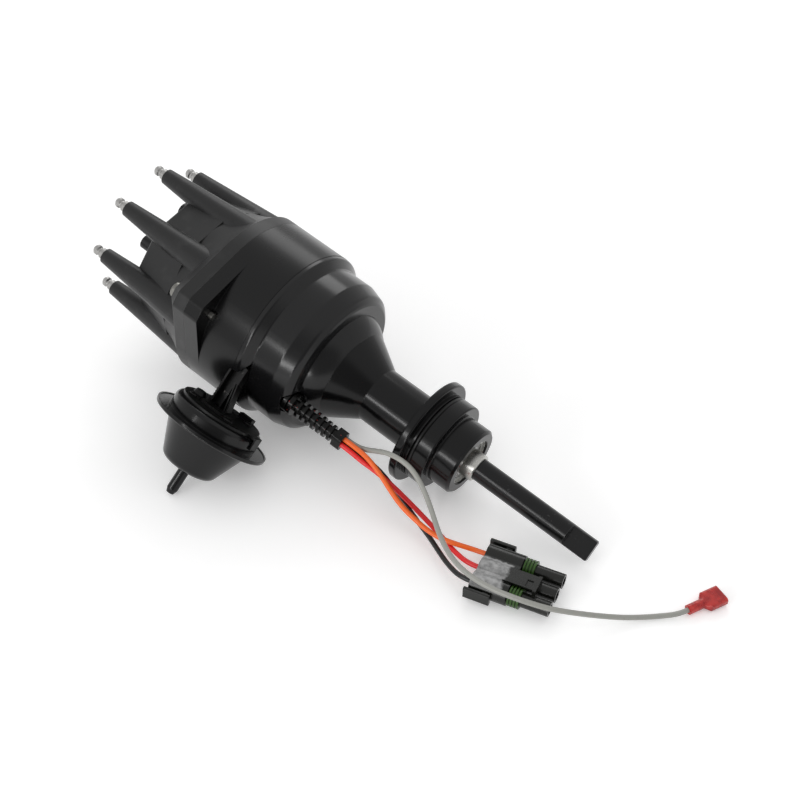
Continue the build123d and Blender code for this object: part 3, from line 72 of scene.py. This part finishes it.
# %% Camera with a 60 mm lens
camera_right = Vector((0.786262, 0.617879, 0.004197))
camera_up = Vector((-0.418297, 0.527267, 0.739606))
camera_back = Vector((0.454774, -0.583280, 0.673027))
camera_place = Vector((0.307070, -0.421141, 0.498565))
lens = bpy.data.cameras.new("catalogue_camera")
lens.lens = 59.985
lens.sensor_width = 36.0
lens.clip_start = 0.01
camera = bpy.data.objects.new("catalogue_camera", lens)
bpy.context.scene.collection.objects.link(camera)
turn = Matrix((camera_right, camera_up, camera_back)).transposed().to_4x4()
camera.matrix_world = Matrix.Translation(camera_place) @ turn
bpy.context.scene.camera = camera
print("camera stands", round(camera_place.length, 3), "m from the flange")

# %% [markdown]
# ## The wires
# Four insulated wires leave the rubber strain relief. Orange, red and black go to the
# three-way plug, and the grey one runs on to the spade terminal. Real wire of this size keeps
# the bends it was packed with and then lies on the table. A chain of cylinders would show
# kinks, so each wire is one NURBS curve with a round bevel. Its control points pull the line
# without touching it, which gives even bends. The order is set after the points are there.
# The wire's thickness is the radius of its points, with a bevel of 1 m, because Blender makes
# a curve's box larger by that radius on every side. With the usual radius of 1 the box would
# be a metre too large, and a camera that frames the part by its box would stand far off.

# %% Wire maker and the four routes, in millimetres
wire_width = 0.0028
whole_bevel = 1.0
millimetre = 1000


def lay_wire(name, route):
    """A wire as one smooth curve; route is in millimetres, in the model's frame."""
    line = bpy.data.curves.new(name, "CURVE")
    line.dimensions = "3D"
    line.bevel_depth = whole_bevel
    line.bevel_resolution = 5
    line.resolution_u = 10
    line.use_fill_caps = True
    spline = line.splines.new("NURBS")
    spline.points.add(len(route) - 1)
    for point, (x, y, z) in zip(spline.points, route):
        point.co = (x / millimetre, y / millimetre, z / millimetre, 1)
        point.radius = wire_width / 2
    spline.order_u = 3
    spline.use_endpoint_u = True
    wire = bpy.data.objects.new(name, line)
    bpy.context.scene.collection.objects.link(wire)
    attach(wire, "housing")
    print(name, "has", len(route), "control points")
    return wire


orange_route = [
    (-29.9, -36.8, 5.6), (-23.7, -36.4, 3.8), (-15.5, -37.4, 3.0), (-9.0, -38.4, 0.8),
    (-2.6, -39.4, -3.0), (3.3, -40.5, -7.2), (9.5, -41.9, -10.8), (15.9, -42.8, -13.8),
    (22.5, -43.0, -16.2), (29.6, -43.5, -18.0), (36.7, -43.3, -19.2), (43.6, -41.7, -20.0),
    (50.1, -38.6, -21.6), (56.5, -35.0, -23.7), (62.8, -33.6, -23.7),
]
red_route = [
    (-30.4, -39.2, 3.3), (-24.2, -38.8, 1.4), (-16.5, -39.3, -0.2), (-9.8, -38.3, -2.8),
    (-2.9, -37.2, -6.2), (4.5, -36.6, -10.0), (11.7, -35.9, -14.5), (19.7, -35.7, -18.9),
    (28.4, -36.6, -22.0), (37.4, -38.8, -23.4), (48.0, -42.6, -23.8), (58.7, -44.8, -23.7),
    (65.0, -43.3, -23.7),
]
black_route = [
    (-31.2, -36.8, 1.3), (-25.0, -36.4, -0.6), (-17.4, -35.2, -2.2), (-10.2, -34.3, -5.2),
    (-2.7, -34.6, -9.3), (4.9, -35.5, -14.3), (12.8, -36.6, -19.0), (21.6, -38.8, -22.7),
    (31.2, -41.9, -24.4), (41.2, -46.6, -25.2), (50.9, -51.4, -24.6), (60.8, -54.5, -23.7),
    (67.2, -53.1, -23.7),
]
grey_route = [
    (-30.6, -34.4, 3.6), (-24.4, -34.0, 1.8), (-17.4, -33.5, 2.8), (-10.4, -33.4, 6.2),
    (-2.9, -33.8, 9.6), (5.3, -33.9, 10.4), (12.1, -33.8, 8.3), (18.6, -35.1, 4.6),
    (24.6, -37.4, 0.4), (30.2, -40.4, -3.2), (35.5, -43.9, -5.9), (41.0, -47.8, -7.9),
    (47.8, -52.2, -9.5), (55.7, -56.0, -11.0), (64.2, -58.3, -12.0), (73.5, -59.2, -12.5),
    (82.9, -58.6, -12.8), (92.0, -56.6, -13.3), (101.2, -53.3, -14.6), (110.1, -48.6, -16.9),
    (118.3, -42.2, -19.6), (125.5, -35.4, -22.6), (132.3, -28.8, -25.2), (139.3, -22.1, -27.2),
    (146.0, -15.4, -28.2), (152.4, -9.3, -28.2), (158.8, -3.5, -27.4), (161.0, 1.5, -27.4),
]

# %% Lay the wires and hide the model's own wire pieces
wires = {}
wire_facts = (
    ("orange", orange_route, 0.1009, ["connector_shell"]),
    ("red", red_route, 0.1025, ["connector_latches", "connector_terminals"]),
    ("black", black_route, 0.1077, ["connector_seals"]),
    ("grey", grey_route, 0.2285, ["spade_sleeve", "spade_terminal"]),
)
for colour, route, length, pieces in wire_facts:
    wire = lay_wire(f"{colour}_lead", route)
    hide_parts(f"wire_{colour}")
    wires[colour] = wire

# %% [markdown]
# ## Writing shaders as sums
# A finish is a network of nodes, and a network is hard to read as code. Here a socket is
# wrapped in a small class, so that `mask * 0.4 + 0.2` adds the Math nodes by itself. The
# network could also be clicked together by hand, but written as sums it can be read, changed
# and used again. Colours and vectors keep to Mix and Vector Math, because a Math node would
# turn a colour grey.

# %% A wrapped socket whose operators add nodes
class Signal:
    """One output socket of a node, with arithmetic."""

    def __init__(self, bench, socket):
        self.bench = bench
        self.socket = socket

    def _sum(self, operation, first, second=0.0):
        sides = [v.socket.type for v in (first, second) if isinstance(v, Signal)]
        kind = "ShaderNodeVectorMath" if "VECTOR" in sides else "ShaderNodeMath"
        return self.bench.node(kind, {"operation": operation}, {0: first, 1: second})

    def __add__(self, other):
        return self._sum("ADD", self, other)

    def __radd__(self, other):
        return self._sum("ADD", other, self)

    def __sub__(self, other):
        return self._sum("SUBTRACT", self, other)

    def __rsub__(self, other):
        return self._sum("SUBTRACT", other, self)

    def __mul__(self, other):
        return self._sum("MULTIPLY", self, other)

    def __rmul__(self, other):
        return self._sum("MULTIPLY", other, self)

    def sine(self):
        return self._sum("SINE", self)

    def between(self, low, high):
        """0 below low, 1 above high, smooth between them."""
        settings = {"interpolation_type": "SMOOTHSTEP"}
        values = {"Value": self, "From Min": low, "From Max": high}
        return self.bench.node("ShaderNodeMapRange", settings, values)


# %% A bench for one material or world: it adds any node, by type, settings and values
class Bench:
    """The nodes of one material or world, and the surface node that shows them."""

    def __init__(self, owner, surface="Principled BSDF"):
        owner.use_nodes = True
        self.owner = owner
        self.tree = owner.node_tree
        self.surface = self.tree.nodes[surface]

    def node(self, kind, settings=None, values=None, output=0):
        made = self.tree.nodes.new(kind)
        for key, value in (settings or {}).items():
            setattr(made, key, value)
        for key, value in (values or {}).items():
            self.feed(made.inputs[key], value)
        return Signal(self, made.outputs[output])

    def feed(self, target, value):
        if isinstance(value, Signal):
            self.tree.links.new(value.socket, target)
        elif target.type == "RGBA":
            target.default_value = (*value, 1)
        elif target.type == "VECTOR" and isinstance(value, (int, float)):
            target.default_value = (value, value, value)
        else:
            target.default_value = value

    def place(self):
        """Where a point of the surface is, in the model's frame, in metres."""
        return self.node("ShaderNodeTexCoord", output="Object")

    def dot(self, first, second):
        """How far two directions agree, or a place along a direction."""
        settings = {"operation": "DOT_PRODUCT"}
        return self.node("ShaderNodeVectorMath", settings, {0: first, 1: second}, "Value")

    def along(self, direction):
        """How far a point lies along a direction, in metres."""
        return self.dot(self.place(), tuple(direction))

    def facing(self, direction):
        """1 where the surface faces a direction, which may be a signal too."""
        return self.dot(self.node("ShaderNodeNewGeometry", output="Normal"), direction)

    def noise(self, scale, detail=2.0, roughness=0.5):
        values = {"Vector": self.place(), "Scale": scale, "Detail": detail}
        values["Roughness"] = roughness
        return self.node("ShaderNodeTexNoise", {}, values)

    def marks(self, station, detail=2.0):
        """Tool marks: noise that changes with one number only."""
        values = {"W": station, "Scale": 1.0, "Detail": detail}
        return self.node("ShaderNodeTexNoise", {"noise_dimensions": "1D"}, values)

    def specks(self, scale, size):
        """1 in small scattered dots, 0 between them."""
        values = {"Vector": self.place(), "Scale": scale}
        far = self.node("ShaderNodeTexVoronoi", {}, values, "Distance")
        return 1 - far.between(size * 0.6, size)

    def blend(self, factor, first, second):
        """first where factor is 0, second where it is 1; both are colours."""
        values = {"Factor": factor, 6: first, 7: second}
        return self.node("ShaderNodeMix", {"data_type": "RGBA"}, values, 2)

    def relief(self, height, depth, edge=0.0):
        """A surface direction from a height signal, with rounded edges if edge is given."""
        values = {"Height": height, "Distance": depth, "Strength": 1.0}
        if edge:
            values["Normal"] = self.node("ShaderNodeBevel", {"samples": 4}, {"Radius": edge})
        return self.node("ShaderNodeBump", {}, values)

    def finish(self, **inputs):
        for key, value in inputs.items():
            self.feed(self.surface.inputs[key.replace("_", " ")], value)
        return self.owner


def material_bench(name):
    return Bench(bpy.data.materials.new(name))


def dress(material, names):
    for name in names:
        mesh = nodes[name].data
        mesh.materials.clear()
        mesh.materials.append(material)
    print(material.name, "on", ", ".join(names))


# %% [markdown]
# ## Polished black anodising
# The housing is cast aluminium, turned on a lathe, polished and dyed black. The film is
# glossy, yet it keeps faint rings from the lathe and a cloudy unevenness that shows only in
# the reflections. A plain black with low roughness would look like plastic film, so the rings
# and clouds go into roughness and bump, and the colour stays nearly even.

# %% The housing's finish
waves_per_millimetre = 6283.2
rings_per_metre = 900
ring_depth = 0.2


def anodised(name, ring_pitch, gloss, tone, index):
    """Dyed black film over turning marks; ring_pitch is in millimetres."""
    bench = material_bench(name)
    station = bench.along(shaft_line)
    cloud = bench.noise(34, 3.0)
    fine = bench.noise(700, 2.0)
    turning = (station * (waves_per_millimetre / ring_pitch)).sine()
    rings = bench.marks(station * rings_per_metre)
    height = turning * 0.06 + fine * 0.06 + rings * ring_depth
    dust = bench.specks(420, 0.10) * bench.noise(90).between(0.58, 0.7)
    colour = bench.blend(dust * 0.35, tone, (0.045, 0.045, 0.045))
    return bench.finish(
        Base_Color=colour,
        Roughness=gloss + cloud * 0.08 + rings * 0.03,
        Normal=bench.relief(height, 0.000004, 0.0004),
        IOR=index,
    )


for part, *look in (
    ("bowl", 0.55, 0.15, (0.0050, 0.0050, 0.0053), 1.40, "bowl_housing"),
    ("ring", 0.60, 0.20, (0.0035, 0.0035, 0.0037), 1.35, "upper_housing"),
    ("neck", 0.45, 0.13, (0.0022, 0.0022, 0.0024), 1.33, "neck_housing"),
):
    dress(anodised(f"{part}_anodising", *look[:-1]), look[-1:])

# %% [markdown]
# ## Moulded cap
# The cap is black thermoplastic, compression-moulded with towers and webs. The mould was
# spark-eroded, which leaves a fine even grain and a dull grey sheen. A fairly rough surface
# gives the sheen, and a fine bump gives the grain. The grain is finer than a millimetre, so it
# has to be drawn by noise and not by mesh. The other moulded pieces use the same recipe.

# %% The cap's finish
def moulded(name, colour, gloss, grain_scale, grain_depth, edge=0.0004):
    bench = material_bench(name)
    grain = bench.noise(grain_scale, 3.0, roughness=0.6)
    cloud = bench.noise(45, 2.0)
    rubbed_and_edge_highlight = bench.noise(140, 4.0).between(0.52, 0.75)
    pale = [min(1.0, value * 1.7 + 0.006) for value in colour]
    return bench.finish(
        Base_Color=bench.blend(rubbed_and_edge_highlight * 0.5, tuple(colour), tuple(pale)),
        Roughness=gloss + cloud * 0.12 - rubbed_and_edge_highlight * 0.03,
        Normal=bench.relief(grain + cloud * 0.4, grain_depth, edge),
        IOR=1.42,
    )


cap_plastic = moulded("cap_plastic", (0.0105, 0.0105, 0.0108), 0.36, 2600, 0.000012)
dress(cap_plastic, ["distributor_cap"])
plug_plastic = moulded("plug_plastic", (0.0070, 0.0075, 0.0060), 0.26, 1200, 0.00003, 0.0002)
dress(plug_plastic, ["connector_latches"])
dress(moulded("rotor_plastic", (0.085, 0.012, 0.010), 0.35, 1800, 0.00003), ["rotor"])
potting = moulded("potting", (0.020, 0.020, 0.022), 0.25, 900, 0.00003)
dress(potting, ["ignition_module", "pickup_coil"])
dress(moulded("carbon", (0.030, 0.030, 0.030), 0.45, 5000, 0.00002, 0.0001), ["carbon_brush"])

# %% [markdown]
# ## Bright metals
# Terminals, the bearing with its shield, clips, collar and screws are bare or plated metal.
# Each was turned or ground, so its marks run round the shaft or along a cut. The marks go into
# roughness, which stretches the reflection as real brushing does. Anisotropy would do the
# same, but it is not used here.

# %% One recipe for turned metal, with its own colour and marks
def turned_metal(name, colour, gloss, direction, pitch, tarnish=0.25, edge=0.0002):
    bench = material_bench(name)
    station = bench.along(direction)
    stretched = bench.marks(station * (1 / pitch), 3.0)
    stain = bench.noise(170, 4.0).between(0.45, 0.75)
    fine = bench.noise(2200, 2.0)
    dull = [value * 0.62 for value in colour]
    return bench.finish(
        Base_Color=bench.blend(stain * tarnish, tuple(colour), tuple(dull)),
        Metallic=1.0,
        Roughness=gloss + stretched * 0.10 + stain * 0.10,
        Normal=bench.relief(stretched * 0.3 + fine * 0.1, 0.000005, edge),
    )


terminal_metal = turned_metal("terminal_metal", (0.39, 0.385, 0.375), 0.36, shaft_line, 0.0015)
dress(terminal_metal, ["plug_terminals", "coil_terminal"])
dress(turned_metal("ground_steel", (0.36, 0.36, 0.35), 0.22, shaft_line, 0.0006),
      ["lower_bearing_outer", "lower_bearing_inner", "lower_bearing_balls",
       "lower_bearing_shield", "plate_clip"])
dress(turned_metal("collar_steel", (0.50, 0.495, 0.47), 0.20, shaft_line, 0.0007),
      ["collar", "bearing_clip"])
dress(turned_metal("pin_steel", (0.42, 0.41, 0.40), 0.28, flank_line, 0.0004),
      ["collar_pin"])
dress(turned_metal("zinc_plate", (0.22, 0.215, 0.20), 0.30, flank_line, 0.0005, 0.4),
      ["cap_screws", "rotor_screws", "module_screws"])
dress(turned_metal("sheet_steel", (0.46, 0.45, 0.42), 0.30, canister_line, 0.0006, 0.5),
      ["advance_plate", "reluctor", "weight_a", "weight_b", "pickup_plate"])
dress(turned_metal("spring_wire", (0.50, 0.49, 0.47), 0.25, flank_line, 0.0003, 0.3, 0.0),
      ["brush_spring", "advance_springs", "return_spring"])
dress(turned_metal("contact_brass", (0.68, 0.46, 0.17), 0.22, canister_line, 0.0004, 0.5),
      ["rotor_contact", "spade_terminal", "connector_terminals"])
dress(turned_metal("bushing_bronze", (0.50, 0.31, 0.13), 0.34, shaft_line, 0.0004, 0.5),
      ["upper_bushing"])
dress(turned_metal("magnet", (0.12, 0.12, 0.125), 0.40, shaft_line, 0.0008, 0.6),
      ["pickup_magnet"])

# %% [markdown]
# ## Black steel shaft
# The drive shaft is hardened steel with a black oxide skin. It is ground, so it shows one soft
# lengthwise light. The oxide hides the metal below, so a near-black coat with a weak, fairly
# smooth reflection stands for it. Its edges are painted bright, a painted highlight that stands
# also for the coat rubbed off on the edges of its tang. The edges are found by a bevelled
# surface direction, where it leaves the flat one.

# %% The shaft's finish
grinding_per_metre = 2600


def black_oxide(name):
    bench = material_bench(name)
    station = bench.along(shaft_line)
    turning = bench.marks(station * grinding_per_metre)
    cloud = bench.noise(120, 3.0)
    scuffs = bench.noise(700, 5.0).between(0.60, 0.72) * bench.noise(60).between(0.45, 0.65)
    edges = bench.relief(cloud, 0.000002, 0.0005)
    # painted highlight: edges found by the bevelled direction are painted bright, partly for
    # worn coat
    rubbed_and_edge_highlight = (1 - bench.facing(edges)).between(0.02, 0.16)
    scuffs_and_edge_highlight = scuffs * 0.25 + rubbed_and_edge_highlight * 0.6
    colour = bench.blend(scuffs_and_edge_highlight, (0.0036, 0.0036, 0.0040), (0.16, 0.16, 0.165))
    return bench.finish(
        Base_Color=colour,
        IOR=1.35,
        Roughness=0.17 + turning * 0.04 + cloud * 0.08,
        Normal=bench.relief(turning * 0.10 + cloud * 0.4, 0.000005, 0.0003),
    )


dress(black_oxide("black_oxide_steel"), ["shaft", "shaft_cam"])

# %% [markdown]
# ## Canister paint and its dark bracket
# The canister is deep-drawn steel with gloss black paint. Thick paint dries in soft waves,
# called orange peel, that break a reflection up gently. The bracket that carries it is dipped
# and left rough, with pale specks on its cut edges.

# %% Gloss paint with orange peel
def gloss_paint(name):
    bench = material_bench(name)
    peel = bench.noise(330, 1.0)
    fine = bench.noise(1400, 2.0)
    dust = bench.specks(500, 0.09) * bench.noise(80).between(0.5, 0.7)
    return bench.finish(
        Base_Color=bench.blend(dust * 0.5, (0.0030, 0.0030, 0.0033), (0.05, 0.05, 0.046)),
        Roughness=0.12 + bench.noise(50, 2.0) * 0.10,
        Normal=bench.relief(peel + fine * 0.15, 0.000012, 0.0004),
        IOR=1.37,
    )


# %% Rough dip coating, worn to bright metal on some edges
def dipped(name):
    bench = material_bench(name)
    lumps = bench.noise(650, 4.0, roughness=0.65)
    bright = bench.noise(420, 5.0, roughness=0.7).between(0.63, 0.70)
    return bench.finish(
        Base_Color=bench.blend(bright * 0.8, (0.0022, 0.0022, 0.0022), (0.22, 0.21, 0.20)),
        Metallic=bright * 0.8,
        Roughness=0.30 - bright * 0.05 + lumps * 0.14,
        Normal=bench.relief(lumps, 0.00006, 0.0003),
        IOR=1.30,
    )


dress(gloss_paint("gloss_black_paint"), ["canister_cup", "canister_cover", "vacuum_nipple"])
dress(dipped("dipped_bracket"), ["canister_arm", "arm_rivets", "vacuum_rod"])

# %% [markdown]
# ## Rubber and silicone
# The O-ring, the diaphragm and the strain relief are black rubber, and the plug's seals are
# green silicone. Rubber has no coat of gloss: its highlight is wide and grey, so it is rougher
# than the paint, and the colour carries a bloom of pale dust. The strain relief is oily and
# smoother than the rest, so it has a recipe of its own.

# %% Rubber in any colour
def rubber(name, colour, gloss, bloom=0.3):
    bench = material_bench(name)
    grain = bench.noise(1900, 3.0)
    dusty = bench.noise(160, 4.0).between(0.45, 0.75)
    pale = [value * 1.5 + 0.006 for value in colour]
    return bench.finish(
        Base_Color=bench.blend(dusty * bloom, tuple(colour), tuple(pale)),
        Roughness=gloss + dusty * 0.10,
        Normal=bench.relief(grain, 0.00002, 0.0003),
        IOR=1.36,
    )


dress(rubber("black_rubber", (0.0040, 0.0040, 0.0040), 0.30),
      ["pilot_o_ring", "diaphragm"])
dress(rubber("green_silicone", (0.034, 0.085, 0.014), 0.28, 0.4), ["connector_seals"])


# %% Strain relief: glossy black between ribs, with flecks of red where the wires show
def ribbed_relief(name):
    bench = material_bench(name)
    fleck = bench.specks(430, 0.16) * bench.noise(150, 2.0).between(0.50, 0.60)
    grime = bench.noise(500, 3.0).between(0.5, 0.7)
    dark = bench.blend(grime * 0.5, (0.0016, 0.0016, 0.0015), (0.010, 0.0095, 0.0085))
    return bench.finish(
        Base_Color=bench.blend(fleck, dark, (0.36, 0.035, 0.040)),
        Roughness=0.18 + grime * 0.16,
        Normal=bench.relief(bench.noise(800, 2.0), 0.00002, 0.0003),
        IOR=1.28,
    )


dress(ribbed_relief("relief_rubber"), ["strain_relief"])

# %% [markdown]
# ## Plug shell with a painted sheen
# The plug is black nylon. A silvery sheen is painted into the colour on the top of its shell,
# where its faces turn upward. It is broad, soft-edged and mottled, and lies on the lobes next
# to the wires. So distances along and across the plug, made ragged by a noise, bound it, and a
# second noise mottles it.

# %% The plug shell's finish; the plug lies 12.6 degrees from the shaft's direction
plug_cos, plug_sin = 0.97592, 0.21814


def nylon_painted_sheen(name):
    bench = material_bench(name)
    along = bench.along((plug_cos, plug_sin, 0))
    across = bench.along((-plug_sin, plug_cos, 0))
    up = bench.facing((0, 0, 1))
    ragged = bench.noise(420, 4.0) * 0.004
    near_wires = 1 - (along + ragged).between(0.0705, 0.0730)
    two_lobes = 1 - (across + ragged * 0.5).between(-0.0510, -0.0500)
    # painted sheen: faces turned upward on the two lobes near the wires are made silvery
    painted_sheen_mask = near_wires * two_lobes * up.between(0.45, 0.92)
    mottle = bench.noise(330, 4.0, roughness=0.55).between(0.30, 0.70)
    painted_sheen_colour = bench.blend(mottle, (0.20, 0.20, 0.20), (0.42, 0.42, 0.42))
    return bench.finish(
        Base_Color=bench.blend(painted_sheen_mask, (0.0065, 0.0070, 0.0055), painted_sheen_colour),
        Roughness=0.24 + painted_sheen_mask * 0.12 + mottle * 0.05,
        Normal=bench.relief(bench.noise(1200, 3.0), 0.00002, 0.0002),
        IOR=1.42,
    )


dress(nylon_painted_sheen("nylon_painted_sheen"), ["connector_shell"])

# %% [markdown]
# ## Red vinyl sleeve
# The spade terminal sits in a clear red vinyl sleeve. Light passes through it, so the metal
# inside shows as paler and darker zones. Part transmission with a red base gives this look,
# and a soft variation in depth of red stands for the uneven wall.

# %% The sleeve's finish
def red_vinyl(name):
    bench = material_bench(name)
    depth = bench.noise(260, 2.0).between(0.35, 0.68)
    return bench.finish(
        Base_Color=bench.blend(depth, (0.66, 0.045, 0.038), (0.40, 0.012, 0.014)),
        Roughness=0.20 + depth * 0.12,
        Normal=bench.relief(bench.noise(420, 2.0), 0.00008, 0.0004),
        Transmission_Weight=0.30,
        IOR=1.45,
    )


dress(red_vinyl("red_vinyl"), ["spade_sleeve"])

# %% [markdown]
# ## Wire insulation
# The wires are extruded plastic: smooth and slightly waxy, with faint scuffs from the loom.
# The colour is nearly even, so the scuffs go into colour and roughness at once.

# %% Four colours of insulation
def insulation(name, colour, worn):
    bench = material_bench(name)
    scuff = bench.noise(650, 4.0, roughness=0.65).between(0.56, 0.75)
    return bench.finish(
        Base_Color=bench.blend(scuff * 0.5, colour, worn),
        Roughness=0.32 + scuff * 0.18,
        Normal=bench.relief(bench.noise(900, 2.0), 0.00003),
    )


insulations = {
    "orange": insulation("orange_insulation", (0.86, 0.130, 0.010), (0.66, 0.080, 0.010)),
    "red": insulation("red_insulation", (0.74, 0.012, 0.014), (0.50, 0.008, 0.010)),
    "black": insulation("black_insulation", (0.0060, 0.0060, 0.0060), (0.03, 0.03, 0.03)),
    "grey": insulation("grey_insulation", (0.31, 0.31, 0.285), (0.20, 0.20, 0.185)),
}
for colour, wire in wires.items():
    wire.data.materials.append(insulations[colour])
    print(wire.name, "wears", insulations[colour].name)

# %% [markdown]
# ## Table and light
# A part is shown plainly on a white table, with soft light from all sides. The white of the
# table is its own colour, and it glows a little for rays from the camera and from reflections,
# so it looks plain white but keeps the soft shadow under the part. The lamps stay at a level
# where a colour renders about as it is written. The surroundings are a soft white, dimmer on
# one side, which gives black gloss something dark to mirror. A long strip lamp and a box draw
# the highlights along the housing.

# %% White table
table_reach = 4.0
table_gap = 0.0001
table_glow = 0.24


def build_table():
    bench = material_bench("white_table")
    kinds = ("Is Camera Ray", "Is Glossy Ray", "Is Transmission Ray")
    camera, glossy, through = [bench.node("ShaderNodeLightPath", output=kind) for kind in kinds]
    bench.finish(
        Base_Color=(0.94, 0.94, 0.94),
        Roughness=0.9,
        Emission_Color=bench.blend(camera + glossy + through, (0, 0, 0), (1, 1, 1)),
        Emission_Strength=table_glow,
    )
    mesh = bpy.data.meshes.new("white_table")
    ends = (-table_reach, table_reach)
    level = table_height - table_gap
    corners = [(x, y, level) for y in ends for x in ends]
    mesh.from_pydata(corners, [], [(0, 1, 3, 2)])
    mesh.materials.append(bench.owner)
    table = bpy.data.objects.new("white_table", mesh)
    bpy.context.scene.collection.objects.link(table)


build_table()
print("the table lies at", table_height)


# %% Surroundings: soft white all round, dimmer where the dark end of the room would be
def build_world(strength, dim, dim_side):
    world = bpy.data.worlds.new("white_room")
    bpy.context.scene.world = world
    bench = Bench(world, "Background")
    compass = bench.node("ShaderNodeTexCoord", output="Generated")
    toward = bench.dot(compass, tuple(Vector(dim_side).normalized()))
    fade = {"Value": toward, "From Min": 0.72, "From Max": 0.94}
    fade.update({"To Min": strength, "To Max": dim})
    level = bench.node("ShaderNodeMapRange", {"interpolation_type": "SMOOTHSTEP"}, fade)
    bench.finish(Color=(1, 1, 1), Strength=level)
    print("surroundings", strength, "and", dim, "at the dark end")


build_world(0.80, 0.35, (0.70, -0.62, 0.33))


# %% A long strip in front and a soft box behind
def soft_lamp(name, place, long_side, size, glow):
    """An area lamp that faces the part; glow is how bright its face looks."""
    data = bpy.data.lights.new(name, "AREA")
    data.shape = "RECTANGLE"
    data.size, data.size_y = size
    data.energy = glow * pi * size[0] * size[1]
    lamp = bpy.data.objects.new(name, data)
    bpy.context.scene.collection.objects.link(lamp)
    back = Vector(place).normalized()
    across = Vector(long_side)
    across = (across - back * across.dot(back)).normalized()
    turn = Matrix((across, back.cross(across), back)).transposed().to_4x4()
    lamp.matrix_world = Matrix.Translation(place) @ turn
    print(name, "at", [round(v, 2) for v in place])


soft_lamp("front_strip", (0.0, -0.955, 0.292), (0.834, -0.109, -0.54), (0.90, 0.085), 14.0)
soft_lamp("rear_box", (-0.62, 0.87, 0.75), (0.8, 0.6, 0.0), (0.60, 0.50), 2.6)

# %% Colour rendering, and the end
bpy.context.scene.view_settings.view_transform = "Standard"
